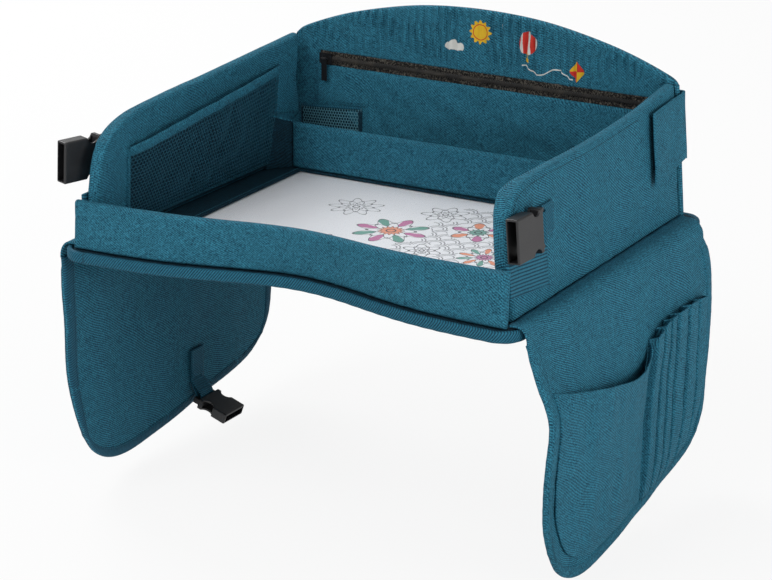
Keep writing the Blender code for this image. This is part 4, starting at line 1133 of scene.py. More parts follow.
def dressWallPocket(side, label, place):
    look = pocketLook
    width = look["backY"] - look["frontY"]
    stand = 0.0011 + look["netThickness"] / 2

    def topAt(along):
        straight = look["frontHeight"] + (look["backHeight"] - look["frontHeight"]) * along
        return straight + look["arch"] * np.sin(math.pi * along)

    def sway(a, b):
        return ripple(a, b, 0.05, 51 + side) * 0.0011 + ripple(a, b, 0.02, 55 + side) * 0.0003

    def point(along, up):
        y = look["frontY"] + along * width
        netTop = topAt(along) - look["bindingHeight"] * 0.5
        z = look["foot"] + up * (netTop - look["foot"])
        share = up * netTop / topAt(along)
        puff = pocketStand(along, share, look["depth"])
        puff = puff + np.abs(sway(y, z)) * np.minimum(1, puff / 0.004)
        return place(y, z, -stand - puff)

    body = label + "_wall"
    height = look["frontHeight"]
    stands = (label + "_mesh_pocket",)
    name = label + "NetPocket"
    addNet(name, width, height, look["cell"], look["netThickness"], point, body, stands, net)
    # a dark sheet on the wall behind the net: painted shade for the shadow inside the pocket
    a, b = np.meshgrid(np.linspace(0, 1, 30), np.linspace(0, 1, 16))
    high = topAt(a) - look["bindingHeight"]
    a, b = look["frontY"] + a * width, look["foot"] - 0.003 + b * (high - look["foot"] + 0.003)
    face = place(a, b, np.full(a.shape, -0.0009))
    rear = place(a, b, np.full(a.shape, 0.0004))
    piece = addSkin(label + "PocketLining", face, rear, gridSpots(a, b), darkLiningAndPaintedShade, body)
    declareCut(piece, face)
    # bound top edge
    along = np.linspace(0, 1, 70)
    y = look["frontY"] + along * width
    top = topAt(along)
    puff = pocketStand(along, 1.0, look["depth"])
    ring = ellipse(look["bindingHeight"] / 2, look["bindingThickness"] / 2, 12)
    ring = np.sign(ring) * np.abs(ring) ** 0.75 * np.abs(ring).max(0) ** 0.25
    wave = ripple(y, 0 * y, 0.03, 61 + side) * 0.0004
    sections = []
    for up, out in ring:
        z = top - look["bindingHeight"] / 2 + up
        away = clearance + look["bindingThickness"] / 2 + puff + out + wave * np.minimum(1, puff / 0.003)
        sections.append(place(y, z, -away))
    sections = np.array(sections).transpose(1, 0, 2)
    stands = (label + "_pocket_binding",)
    addTube(label + "PocketBinding", sections, teal, body, stands)
    lift = clearance + look["bindingThickness"] + puff + wave * np.minimum(1, puff / 0.003)
    route = place(y, top - look["bindingHeight"] * 0.78, -lift)
    normals = place(y, top, -lift - 0.001) - place(y, top, -lift)
    addStitches(label + "PocketStitches", [(route, normals)], body)
    # tapes that hold the ends and the foot of the net
    for end, y0, y1, z0, z1 in (
        ("Near", look["frontY"] - 0.002, look["frontY"] + 0.003, look["foot"] - 0.003, topAt(0.0)),
        ("Far", look["backY"] - 0.003, look["backY"] + 0.002, look["foot"] - 0.003, topAt(1.0)),
    ):
        cut = np.linspace(0, 1, 24)
        wide = np.linspace(0, 1, 7)
        a, b = np.meshgrid(y0 + (y1 - y0) * wide, z0 + (z1 - z0) * cut)
        fat = roundRim(wide, cut, y1 - y0, z1 - z0, 0.0016)
        low = place(a, b, -0.0001 - 0.0021 * fat)
        high = place(a, b, 0.0002 + 0 * fat)
        name = label + "Pocket" + end + "Tape"
        addSkin(name, low, high, gridSpots(a, b), teal, body)


bandLook = {
    "footY": 0.0065,
    "topY": 0.0056,
    "backY": 0.066,
    "frontFoot": 0.020,
    "frontTop": {-1: 0.0430, 1: 0.0490},
    "ahead": {-1: 0.0020, 1: 0.0075},
    "backFoot": 0.012,
    "backTop": 0.045,
    "thickness": 0.0023,
}


def dressCornerBand(side, label, place):
    look = bandLook
    wide = look["backY"] - look["footY"]
    tall = look["frontTop"][side] - look["frontFoot"]
    along = steps(wide, 0.004, 0.0018)
    up = steps(tall, 0.004, 0.0018)
    ahead = look["ahead"][side]
    corners = [
        (look["footY"] - ahead, look["frontFoot"] + 0.001),
        (look["backY"], look["backFoot"]),
        (look["topY"] - ahead, look["frontTop"][side]),
        (look["backY"], look["backTop"]),
    ]
    sides = [corners[:2], corners[2:], [corners[0], corners[2]], [corners[1], corners[3]]]
    a, b = patchGrid(sides, along, up)
    fat = roundRim(along, up, wide, tall, 0.0018, "FarLowHigh")
    low = wallLook["thickness"] + clearance - 0.0002
    bow = 0.0006 * np.clip((0.008 - a) / 0.010, 0, 1)
    wave = ripple(a, b, 0.02, 71 + side) * 0.00015
    front = place(a, b, low + look["thickness"] * fat + wave + bow)
    back = place(a, b, low - 0.0004 + 0 * fat)
    name = label + "CornerBand"
    stands = (label + "_corner_band",)
    spots = gridSpots(b, a)
    piece = addSkin(name, front, back, spots, bandWebbing, None, stands)
    declareCut(piece, front)
    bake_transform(piece)
    inset = 0.0028
    line = [
        (look["footY"] + 0.004, look["frontFoot"] + inset),
        (look["backY"] - inset, look["backFoot"] + inset),
    ]
    across = [
        (look["backY"] - inset, look["backFoot"] + inset),
        (look["backY"] - inset, look["backTop"] - inset),
    ]
    above = [
        (look["footY"] + 0.004, look["frontTop"][side] - inset),
        (look["backY"] - inset, look["backTop"] - inset),
    ]
    level = low + look["thickness"] + 0.0001
    lines = [seamOn(place, part, level, 20) for part in (line, across, above)]
    addStitches(label + "BandStitches", lines, label + "_wall")


# Webbing tabs that loop round the buckles' bars
tabLook = {
    "barRadius": 0.0016,
    "slack": 0.00035,
    "ply": 0.0012,
    "rampStart": 0.0055,
    "rampEnd": 0.0160,
}


def dressTab(name, bar, tail, towards, across, drop, length, width, body, stands):
    look = tabLook
    turnRadius = look["barRadius"] + look["slack"] + look["ply"] / 2
    first = drop - clearance - look["ply"] / 2
    second = first - look["ply"] - clearance
    path = [(length, first), (length * 0.75, first), (length / 2, first), (look["rampEnd"], first)]
    path.append((look["rampStart"], turnRadius))
    for turn in np.linspace(90, 270, 13):
        angle = math.radians(turn)
        path.append((turnRadius * math.cos(angle), turnRadius * math.sin(angle)))
    path.append((look["rampStart"], -turnRadius))
    path += [(look["rampEnd"], second), (length / 2, second), (length * 0.75, second)]
    path.append((length, second))
    path = smoothLine(path, np.linspace(0, 1, 90))
    heading = np.gradient(path, axis=0)
    heading /= np.linalg.norm(heading, axis=1)[:, None]
    normal = np.stack([-heading[:, 1], heading[:, 0]], 1)
    shares = np.array([-1, -0.96, -0.85, -0.5, 0, 0.5, 0.85, 0.96, 1])
    fat = np.sqrt(np.maximum(0.05, 1 - np.abs(shares) ** 12))
    grids = []
    for sign in (1, -1):
        rows = []
        for share, thick in zip(shares, fat):
            flat = path + sign * normal * look["ply"] / 2 * thick
            rows.append(
                bar
                + flat[:, :1] * tail
                + flat[:, 1:] * towards
                + share * width / 2 * across
            )
        grids.append(np.array(rows))
    run = np.concatenate([[0], np.cumsum(np.linalg.norm(np.diff(path, axis=0), axis=1))])
    spots = gridSpots(run[None, :], (shares * width / 2)[:, None])
    piece = addSkin(name, grids[0], grids[1], spots, webbing, body, stands)
    declareCut(piece, grids[0])
    # box of stitches where the plies are sewn down
    top = second - look["ply"] / 2
    a0, a1, c = look["rampEnd"] + 0.002, length - 0.002, width / 2 - 0.0025
    box = [(a0, -c), (a1, -c), (a1, c), (a0, c), (a0, -c)]
    lines = []
    for first, last in zip(box[:-1], box[1:]):
        part = np.linspace(first, last, 12)
        route = bar + part[:, :1] * tail + top * towards + part[:, 1:] * across
        lines.append((route, np.tile(-towards, (12, 1))))
    addStitches(name + "Stitches", lines, body)


wallTabLook = {"barY": 0.0405, "barHeight": 0.0672, "drop": 0.0092, "length": 0.036, "width": 0.025}
flapLook = {
    "frontY": 0.262,
    "backY": 0.3272,
    "freeFoot": 0.041,
    "seamFoot": 0.049,
    "freeTop": 0.1035,
    "seamTop": 0.107,
    "thickness": 0.0022,
    "patchThickness": 0.0006,
    "patchInset": 0.005,
    "patchBackY": 0.306,
    "lift": 0.0016,
    "return": 0.014,
}


def dressFlap(side, label, place):
    look = flapLook
    tall = look["seamTop"] - look["seamFoot"]
    wide = look["backY"] - look["frontY"]
    low = wallLook["thickness"] + 3 * clearance + 2 * look["patchThickness"]
    along = steps(wide, 0.0035, 0.0022)
    up = steps(tall, 0.0035, 0.0022)
    sides = [
        [(look["frontY"], look["freeFoot"]), (look["backY"], look["seamFoot"])],
        [(look["frontY"], look["freeTop"]), (look["backY"], look["seamTop"])],
        [(look["frontY"], look["freeFoot"]), (look["frontY"], look["freeTop"])],
        [(look["backY"], look["seamFoot"]), (look["backY"], look["seamTop"])],
    ]
    a, b = patchGrid(sides, along, up)
    fat = roundRim(along, up, wide, tall, 0.0022, "nearLowHigh")
    free = 1 - (a - look["frontY"]) / wide
    lift = look["lift"] * free**2 + ripple(a, b, 0.03, 81 + side) * 0.0003
    middle = low + look["thickness"] / 2 + lift
    half = look["thickness"] / 2
    front = place(a, b, middle + half * fat)
    back = place(a, b, middle - half * fat)
    # the seam end turns round the corner of the back wall
    turns = np.linspace(0, 1, 9)[1:]
    seamLine = place(a[:, -1], b[:, -1], middle[:, -1])
    radius = 0.0030
    extraFront = []
    extraBack = []
    inward = np.array([-side, 0, 0.0])
    rear = np.array([0, 1.0, 0])
    for turn in turns:
        angle = turn * math.pi / 2
        shift = radius * (math.sin(angle) * rear + (1 - math.cos(angle)) * inward)
        out = math.cos(angle) * -inward + math.sin(angle) * rear
        extraFront.append(seamLine + shift + out * half)
        extraBack.append(seamLine + shift - out * half)
    for run in np.linspace(0, 1, 5)[1:]:
        shift = radius * (rear + inward) + run * look["return"] * inward
        thin = 1 - 0.6 * run
        extraFront.append(seamLine + shift + rear * half * thin)
        extraBack.append(seamLine + shift - rear * half * thin)
    front = np.concatenate([front, np.array(extraFront).transpose(1, 0, 2)], 1)
    back = np.concatenate([back, np.array(extraBack).transpose(1, 0, 2)], 1)
    extra = np.linspace(0.0006, radius * 1.57 + look["return"], front.shape[1] - a.shape[1])
    spotA = np.concatenate([a, look["backY"] + np.tile(extra, (len(up), 1))], 1)
    spotB = np.concatenate([b, np.repeat(b[:, -1:], len(extra), 1)], 1)
    name = label + "Flap"
    stands = (label + "_flap",)
    piece = addSkin(name, front, back, gridSpots(spotA, spotB), teal, None, stands)
    declareCut(piece, front)
    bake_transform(piece)
    inset = 0.0032
    near, far = look["frontY"] + inset, look["backY"] - 0.012
    seams = [
        [(near, look["freeFoot"] + inset), (far, look["seamFoot"] + inset)],
        [(near, look["freeTop"] - inset), (far, look["seamTop"] - inset)],
        [(near, look["freeFoot"] + inset), (near, look["freeTop"] - inset)],
    ]
    lines = []
    for line in seams:
        flat = smoothLine(line, np.linspace(0, 1, 40))
        free = 1 - (flat[:, 0] - look["frontY"]) / wide
        rise = low + look["thickness"] + look["lift"] * free**2
        rise = rise + ripple(flat[:, 0], flat[:, 1], 0.03, 81 + side) * 0.0003
        route = place(flat[:, 0], flat[:, 1], rise)
        normals = place(flat[:, 0], flat[:, 1], rise + 0.001) - route
        lines.append((route, normals))
    addStitches(name + "Stitches", lines, label + "_flap")


def dressFastener(label, place, level, part, material, body):
    look = flapLook
    y0, y1 = look["frontY"] + look["patchInset"], look["patchBackY"]
    z0, z1 = look["seamFoot"] + look["patchInset"], look["freeTop"] - look["patchInset"]
    along = steps(y1 - y0, 0.003, 0.001)
    up = steps(z1 - z0, 0.003, 0.001)
    a, b = np.meshgrid(y0 + (y1 - y0) * along, z0 + (z1 - z0) * up)
    fat = roundRim(along, up, y1 - y0, z1 - z0, 0.001)
    fuzz = ripple(a, b, 0.004, 91) * 0.00006
    front = place(a, b, level + look["patchThickness"] * 0.8 * fat + fuzz)
    back = place(a, b, level + 0 * fat)
    name = label + part[0].upper() + part[1:] + "Patch"
    stands = (label + "_" + part + "_patch",)
    piece = addSkin(name, front, back, gridSpots(a, b), material, body, stands)
    declareCut(piece, front)


fleeceLook = {"deep": shade(4, 24, 34), "bright": shade(22, 70, 86), "roughness": 0.95}
fleece = knittedNet("loopFleece", fleeceLook)
for side, label in ((-1, "left"), (1, "right")):
    place = wallPlace(side)
    dressWall(side, label, place)
    dressWallPocket(side, label, place)
    dressCornerBand(side, label, place)
    outAxis = place(0, 0, 1.0) - place(0, 0, 0)
    upAxis = place(0, 1.0, 0) - place(0, 0, 0)
    seamAxis = place(1.0, 0, 0) - place(0, 0, 0)
    look = wallTabLook
    bar = place(look["barY"], look["barHeight"], wallLook["thickness"] + look["drop"])
    dressTab(
        label + "BuckleTab",
        bar,
        seamAxis,
        -outAxis,
        upAxis,
        look["drop"],
        look["length"],
        look["width"],
        label + "_wall",
        (label + "_buckle_tab",),
    )
    dressFlap(side, label, place)
    level = wallLook["thickness"] + clearance
    dressFastener(label, place, level, "loop", fleece, label + "_wall")
    level += flapLook["patchThickness"] + clearance
    dressFastener(label, place, level, "hook", fleece, label + "_flap")
print("side walls dressed")


# Front wall, a padded band that bows in
frontLook = {
    "half": 0.2005,
    "leftHeight": 0.040,
    "rightHeight": 0.0445,
    "thickness": 0.010,
    "footY": -0.0110,
    "footDip": 0.031,
    "footSpread": 0.092,
    "topY": -0.0075,
    "topDip": 0.0175,
    "topSpread": 0.080,
}


def frontPlace(x, up, out):
    # up is a share of the height, out runs towards the child's side
    look = frontLook
    x, up, out = np.broadcast_arrays(x, up, out)
    foot = look["footY"] + dip(x, look["footDip"], look["footSpread"])
    top = look["topY"] + dip(x, look["topDip"], look["topSpread"])
    share = (x + look["half"]) / (2 * look["half"])
    height = look["leftHeight"] + share * (look["rightHeight"] - look["leftHeight"])
    y = foot + (top - foot) * up + look["thickness"] / 2 - out
    return np.stack([x, y, wallLook["gap"] + up * height], -1)


def dressFrontWall():
    look = frontLook
    wide = 2 * look["half"]
    tall = look["rightHeight"]
    along = steps(wide, 0.0028, 0.003)
    up = steps(tall, 0.0022, 0.0034)
    a, b = np.meshgrid((along - 0.5) * wide, up)
    fat = roundRim(along, up, wide, tall, 0.0034, "nearFarLowHigh")
    half = look["thickness"] / 2
    z = b * tall
    calm = np.clip((fat - 0.4) / 0.6, 0, 1)
    crumple = ripple(a, z, 0.035, 101, 0.8) * 0.00045 + ripple(a, z, 0.012, 102) * 0.00028
    crumple = crumple + ripple(a, z, 0.006, 103) * 0.00012
    outer = half * fat * 1.06 + crumple * calm
    inner = -half * fat + ripple(a, z, 0.03, 104) * 0.0004 * calm
    front = frontPlace(a, b, outer)
    back = frontPlace(a, b, inner)
    spots = gridSpots(a, z)
    piece = addSkin("frontWallCover", front, back, spots, teal, "base", ("front_wall",))


dressFrontWall()


# Back wall: gathered cloth above the zip, a loose pocket panel below it
backLook = {
    "thickness": 0.007,
    "half": 0.1955,
    "shoulder": 0.1876,
    "height": 0.157,
    "top": [(-1, 0.725), (-0.95, 0.775), (-0.73, 0.873), (-0.48, 0.946), (-0.26, 0.986), (0, 1)]
    + [(0.26, 0.986), (0.48, 0.946), (0.73, 0.873), (0.95, 0.775), (1, 0.725)],
    "rim": 0.0034,
    "gather": 0.0078,
    "gatherDepth": 0.0026,
    "zipZ": 0.095,
    "panelHalf": 0.165,
    "panelFoot": 0.005,
    "panelSkin": 0.001,
    "gatherStart": 0.006,
    "gatherFade": 0.012,
    "seamSide": 0.006,
    "seamTop": 0.0065,
    "panelRim": 0.0016,
    "slack": 0.0020,
    "pleat": 0.016,
    "pleatDepth": 0.0018,
    "pucker": 0.0085,
    "puckerDepth": 0.0014,
    "puckerDrop": 0.016,
    "drapeMost": 0.0055,
    "drapeLess": 0.0046,
    "endsFrom": 0.115,
    "endsOver": 0.03,
}
backFace = wallLook["depth"] - backLook["thickness"]


def backPlace(x, z, out):
    x, z, out = np.broadcast_arrays(x, z, out)
    return np.stack([x, backFace + out, z], -1)


def dressBackWall():
    look = backLook
    wide = 2 * look["half"]
    along = steps(wide, 0.0020, look["rim"])
    up = steps(look["height"], 0.0028, look["rim"])
    shoulder = look["top"][0][1] * look["height"]
    sides = [
        [(-look["half"], wallLook["gap"]), (look["half"], wallLook["gap"])],
        [(a * look["shoulder"], b * look["height"]) for a, b in look["top"]],
        [(-look["half"], wallLook["gap"]), (-look["shoulder"], shoulder)],
        [(look["half"], wallLook["gap"]), (look["shoulder"], shoulder)],
    ]
    x, z = patchGrid(sides, along, up)
    fat = roundRim(along, up, wide, look["height"], look["rim"], "nearFarLowHigh")
    half = look["thickness"] / 2
    above = np.clip((z - look["zipZ"] - look["gatherStart"]) / look["gatherFade"], 0, 1)
    sway = ripple(x, z, 0.04, 111, 0.7) * 0.5
    wave = np.sin(2 * math.pi * x / look["gather"] + 2.2 * sway)
    wave = wave + 0.35 * np.sin(2 * math.pi * x / look["gather"] * 2.1 + 3 * sway)
    patchy = 0.55 + 0.45 * ripple(x, z, 0.05, 112)
    folds = wave * look["gatherDepth"] * np.clip(patchy, 0.15, 1.1) * above
    folds = folds + ripple(x, z, 0.03, 113) * 0.0003
    calm = np.clip((fat - 0.3) / 0.7, 0, 1)
    inner = half - half * fat - (folds + 0.0004) * calm
    outer = half + half * fat - (np.abs(ripple(x, z, 0.05, 114)) * 0.0004 + 0.0002) * calm
    inner = np.where(above > 0, inner, np.maximum(inner, 0.00005))
    front = backPlace(x, z, inner)
    back = backPlace(x, z, outer)
    stands = ("back_wall_cover",)
    name = "backWallCover"
    piece = addSkin(
        name, front, back, gridSpots(x, z), printed, "back_wall", stands, rear=teal
    )
    seam = []
    for a, b in look["top"]:
        seam.append((a * (look["shoulder"] - look["seamSide"]), b * look["height"] - look["seamTop"]))
    lines = [seamOn(backPlace, seam, look["thickness"] + 0.0002, 160)]
    addStitches("archStitches", lines, "back_wall")


def dressZipPanel():
    look = backLook
    top = look["zipZ"] - zipLook["tapeOuter"] - clearance
    wide = 2 * look["panelHalf"]
    tall = top - look["panelFoot"]
    along = steps(wide, 0.0030, look["panelRim"])
    up = steps(tall, 0.0028, look["panelRim"])
    x, z = np.meshgrid((along - 0.5) * wide, look["panelFoot"] + up * tall)
    fat = roundRim(along, up, wide, tall, look["panelRim"])
    loose = np.sin(math.pi * up)[:, None] ** 0.7
    ends = np.exp(-((np.abs(x) - 0.15) ** 2) / 0.0012)
    slack = np.abs(ripple(x, z, 0.045, 121, 0.6)) * look["slack"]
    turn = 2 * math.pi * (x * 0.9 + z * 0.5) / look["pleat"]
    pleats = np.sin(turn + ripple(x, z, 0.04, 122) * 1.8)
    drape = (slack + (0.5 + 0.5 * pleats) * look["pleatDepth"] * (0.35 + 0.65 * ends)) * loose
    # short puckers hang from the zip
    hang = np.exp(-(((top - z) / look["puckerDrop"]) ** 2)) * np.clip((top - z) / 0.003, 0, 1)
    gathers = np.sin(2 * math.pi * x / look["pucker"] + 2 * ripple(x, z, 0.05, 123))
    drape = drape + (0.5 + 0.5 * gathers) * look["puckerDepth"] * hang
    # flatter near both ends, and close behind the little net pocket
    less = np.clip((np.abs(x) - look["endsFrom"]) / look["endsOver"], 0, 1)
    drape = np.minimum(drape, look["drapeMost"] - look["drapeLess"] * less)
    near = (x > -0.185) & (x < -0.115) & (z < 0.056)
    drape = np.where(near, drape * 0.15, drape)
    front = backPlace(x, z, -clearance - look["panelSkin"] * fat - drape)
    back = backPlace(x, z, 0.0002 + 0 * fat)
    stands = ("zip_pocket_panel",)
    piece = addSkin("zipPanel", front, back, gridSpots(x, z), teal, "back_wall", stands)
    declareCut(piece, front)


zipLook = {
    "half": 0.162,
    "z": backLook["zipZ"],
    "tapeOuter": 0.0059,
    "tapeInner": 0.0013,
    "tapeThickness": 0.0008,
    "toothPitch": 0.0024,
    "toothHeight": 0.0040,
    "toothWide": 0.0013,
    "coilDepth": 0.0020,
}


def dressZip():
    look = zipLook
    for label, low, high in (
        ("Upper", look["tapeInner"], look["tapeOuter"] + 0.0004),
        ("Lower", -look["tapeOuter"] - 0.0004, -look["tapeInner"]),
    ):
        along = steps(2 * look["half"], 0.006, 0.002)
        up = steps(high - low, 0.001, 0.0006)
        x, z = np.meshgrid((along - 0.5) * 2 * look["half"], look["z"] + low + up * (high - low))
        fat = roundRim(along, up, 2 * look["half"], high - low, 0.0006)
        wave = ripple(x, z * 0, 0.03, 131) * 0.0001
        wave = wave + ripple(x, z, 0.006, 132) * 0.0002 * (fat - rimLeast)
        front = backPlace(x, z, -clearance - look["tapeThickness"] * fat + wave)
        back = backPlace(x, z, -clearance + 0.0004 + 0 * fat)
        stands = ("zip_tape_" + label.lower(),)
        name = "zipTape" + label
        addSkin(name, front, back, gridSpots(z, x), zipTape, "back_wall", stands)
    # interlocking coil, one rounded tooth from each side in turn
    points = []
    faces = []
    count = int(2 * look["half"] / (look["toothPitch"] / 2))
    middle = -clearance - look["coilDepth"] / 2
    for k in range(count):
        x = -look["half"] + (k + 0.5) * look["toothPitch"] / 2
        shift = 0.0006 if k % 2 else -0.0006
        first = len(points)
        for share, fat in ((-1, 0.5), (-0.7, 1), (0.7, 1), (1, 0.5)):
            z = look["z"] + shift + share * look["toothHeight"] / 2
            for turn in range(6):
                angle = turn * math.pi / 3
                dx = look["toothWide"] / 2 * math.cos(angle) * fat
                dy = look["coilDepth"] / 2 * math.sin(angle) * fat
                points.append((x + dx, backFace + middle + dy, z))
        for ring in range(3):
            for j in range(6):
                a = first + 6 * ring + j
                b = first + 6 * ring + (j + 1) % 6
                faces.append([a, b, b + 6, a + 6])
        faces.append([first + j for j in range(6)])
        faces.append([first + 18 + j for j in range(6)])
    spots = np.zeros((len(points), 2))
    stands = ("zip_coil",)
    addPiece(
        "zipTeeth", np.array(points), faces, spots, coilPlastic, "back_wall", stands
    )
    for node in ("zip_slider", "zip_pull"):
        nodes[node].data.materials.clear()
        nodes[node].data.materials.append(enamel)
    # short bar-tacks at both ends of the zip
    lines = []
    for side in (-1, 1):
        x = side * (look["half"] - 0.0005)
        line = [(x, look["z"] - 0.006), (x, look["z"] + 0.006)]
        lines.append(seamOn(backPlace, line, -0.0024, 12))
    addStitches("zipBarTacks", lines, "back_wall", material=darkThread)
    edge = []
    for z in (look["z"] - look["tapeOuter"] - 0.0022, look["z"] + look["tapeOuter"] + 0.0022):
        line = [(-look["half"] - 0.002, z), (look["half"] + 0.002, z)]
        edge.append(seamOn(backPlace, line, -0.0016, 160))
    addStitches("zipStitches", edge, "back_wall")


backPocketLook = {
    "left": -0.181,
    "right": -0.119,
    "foot": 0.010,
    "height": 0.050,
    "rise": 0.0045,
    "binding": 0.0026,
    "stand": 0.0024,
}


def dressBackPocket():
    look = backPocketLook
    wide = look["right"] - look["left"]
    netTop = look["height"] - look["binding"] * 0.5

    def topAt(along):
        return netTop + look["rise"] * along

    def bulge(along, up):
        return 0.0014 * np.sin(math.pi * np.clip(along, 0, 1)) * np.sin(math.pi / 2 * np.clip(up, 0, 1))

    def point(along, up):
        z = look["foot"] + up * (topAt(along) - look["foot"])
        x = look["left"] + along * wide
        return backPlace(x, z, -look["stand"] - bulge(along, up))

    stands = ("back_mesh_pocket",)
    tall = netTop - look["foot"]
    addNet("backNetPocket", wide, tall, 0.0027, 0.0009, point, "back_wall", stands, paleNet)
    along = np.linspace(0, 1, 26)
    x = look["left"] + along * wide
    ring = ellipse(look["binding"] / 2, 0.0010, 12)
    sections = []
    for up, out in ring:
        z = topAt(along) + up
        sections.append(backPlace(x, z, -look["stand"] - bulge(along, 1.0) + out))
    sections = np.array(sections).transpose(1, 0, 2)
    stands = ("back_pocket_binding",)
    addTube("backPocketBinding", sections, webbing, "back_wall", stands)
    # a dark sheet inside the little pocket: painted shade for the shadow behind its net
    a, b = np.meshgrid(np.linspace(0, 1, 14), np.linspace(0, 1, 8))
    a, b = look["left"] + a * wide, look["foot"] + b * (topAt(a) - look["foot"])
    front = backPlace(a, b, -0.0017)
    rear = backPlace(a, b, -0.0010)
    name = "backPocketLining"
    piece = addSkin(name, front, rear, gridSpots(a, b), darkLiningAndPaintedShade, "back_wall")
    declareCut(piece, front)
    # side tapes of the little pocket
    cut = np.linspace(0, 1, 16)
    wideShares = np.linspace(0, 1, 7)
    for name, x0, x1 in (
        ("backPocketRightTape", look["right"] - 0.0035, look["right"] + 0.001),
        ("backPocketLeftTape", look["left"] - 0.001, look["left"] + 0.002),
    ):
        tall = topAt((x0 - look["left"]) / wide) - look["foot"]
        a, b = np.meshgrid(x0 + (x1 - x0) * wideShares, look["foot"] + tall * cut)
        fat = roundRim(wideShares, cut, x1 - x0, tall, 0.0014)
        front = backPlace(a, b, -0.0014 - 0.0016 * fat)
        back = backPlace(a, b, -0.0010 + 0 * fat)
        addSkin(name, front, back, gridSpots(a, b), darkLiningAndPaintedShade, "back_wall")


dressBackWall()
dressZipPanel()
dressZip()
dressBackPocket()
print("back wall dressed")


# Divider and its soft gussets
dividerLook = {
    "half": 0.1695,
    "frontY": 0.280,
    "thickness": 0.007,
    "height": 0.0425,
    "wallY": 0.2600,
    "wallTopY": 0.2590,
    "wallRise": 0.0115,
    "foldBackY": 0.3125,
    "gussetThickness": 0.0012,
    "drop": 0.0004,
    "sag": 0.005,
    "squash": 0.06,
}


def dividerPlace(x, z, out):
    x, z, out = np.broadcast_arrays(x, z, out)
    return np.stack([x, dividerLook["frontY"] + out, z], -1)


def dressDivider():
    look = dividerLook
    wide = 2 * look["half"]
    along = steps(wide, 0.003, 0.003)
    up = steps(look["height"], 0.0022, 0.003)
    x, z = np.meshgrid((along - 0.5) * wide, wallLook["gap"] + up * (look["height"] - wallLook["gap"]))
    fat = roundRim(along, up, wide, look["height"], 0.0034)
    half = look["thickness"] / 2
    calm = np.clip((fat - 0.4) / 0.6, 0, 1)
    seam = np.exp(-(((z - 0.0062) / 0.0011) ** 2)) * 0.0006
    puff = ripple(x, z, 0.03, 141) * 0.00035 + ripple(x, z, 0.010, 142) * 0.00018
    pucker = np.abs(np.sin(math.pi * x / 0.006)) * 0.0002 * np.exp(-(((z - 0.010) / 0.004) ** 2))
    front = dividerPlace(x, z, half - half * fat - (puff - seam + pucker) * calm)
    back = dividerPlace(x, z, half + half * fat + ripple(x, z, 0.03, 143) * 0.0003 * calm)
    stands = ("divider_cover",)
    name = "dividerCover"
    piece = addSkin(name, front, back, gridSpots(x, z), teal, "divider", stands)
    lines = []
    for z, out in ((0.0062, 0.0003), (look["height"] - 0.0024, 0.0002)):
        line = [(-look["half"] + 0.004, z), (look["half"] - 0.004, z)]
        route, _ = seamOn(dividerPlace, line, out, 120)
        lines.append((route, np.tile([0, -1.0, 0], (len(route), 1))))
    addStitches("dividerStitches", lines, "divider")


def dressGusset(side, label, place):
    look = dividerLook
    rows = steps(look["height"] - look["drop"], 0.003, 0.001)
    columns = np.linspace(0, 1, 16)
    foot = wallLook["gap"]
    z = foot + rows * (look["height"] - look["drop"] - foot)
    inner = np.stack(
        [
            np.full(len(z), side * (look["half"] + 0.0002)),
            np.full(len(z), look["frontY"] + look["thickness"] * 0.35),
            z,
        ],
        1,
    )
    wallY = look["wallY"] + (look["wallTopY"] - look["wallY"]) * rows
    outer = place(wallY, z + look["wallRise"] * rows, np.full(len(z), -0.0007))
    s = columns[None, :, None]
    middle = inner[:, None] * (1 - s) + outer[:, None] * s
    bow = np.sin(math.pi * columns)[None, :] * (0.35 + 0.65 * rows[:, None])
    middle[..., 1] += look["sag"] * 0.6 * bow
    middle[..., 2] -= look["sag"] * 0.35 * np.sin(math.pi * columns)[None, :] * rows[:, None]
    thin = look["gussetThickness"] / 2
    front = middle - [0, thin, 0]
    back = middle + [0, thin, 0]
    spots = gridSpots(columns[None, :] * 0.022, z[:, None])
    name = label + "Gusset"
    stands = (label + "_divider_gusset",)
    # the gusset is cut from the dark cloth: painted shade, as it stands in the shadow of the side wall
    piece = addSkin(name, front, back, spots, darkLiningAndPaintedShade, "base", stands)
    declareCut(piece, front)
    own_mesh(piece)
    # the slack cloth folds back over the top of the gusset
    tall = look["height"] - look["drop"]
    a, b = np.meshgrid(np.linspace(0, 1, 12), np.linspace(0, 1, 10))
    nearDivider = np.array([side * (look["half"] - 0.001), look["frontY"] + 0.003, tall + 0.0012])
    high = tall + look["wallRise"] - 0.0008
    nearWall = place(np.array(look["wallTopY"]), np.array(high), np.array(-0.0009))
    farWall = place(np.array(look["foldBackY"]), np.array(tall + 0.001), np.array(-0.0009))
    edge = nearDivider + (farWall - nearDivider) * b[..., None] * 0.96
    wall = nearWall + (farWall - nearWall) * b[..., None]
    fold = edge * (1 - a[..., None]) + wall * a[..., None]
    fold[..., 2] -= 0.0035 * np.sin(math.pi * a) * np.sin(math.pi * b) ** 0.5
    spots = gridSpots(a * 0.02, b * 0.04)
    topName = label + "GussetFold"
    top = addSkin(topName, fold, fold - [0, 0, 2 * thin], spots, teal, "base")
    declareCut(top, fold)
    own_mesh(top)


dressDivider()
for side, label in ((-1, "left"), (1, "right")):
    dressGusset(side, label, wallPlace(side))
print("divider dressed")


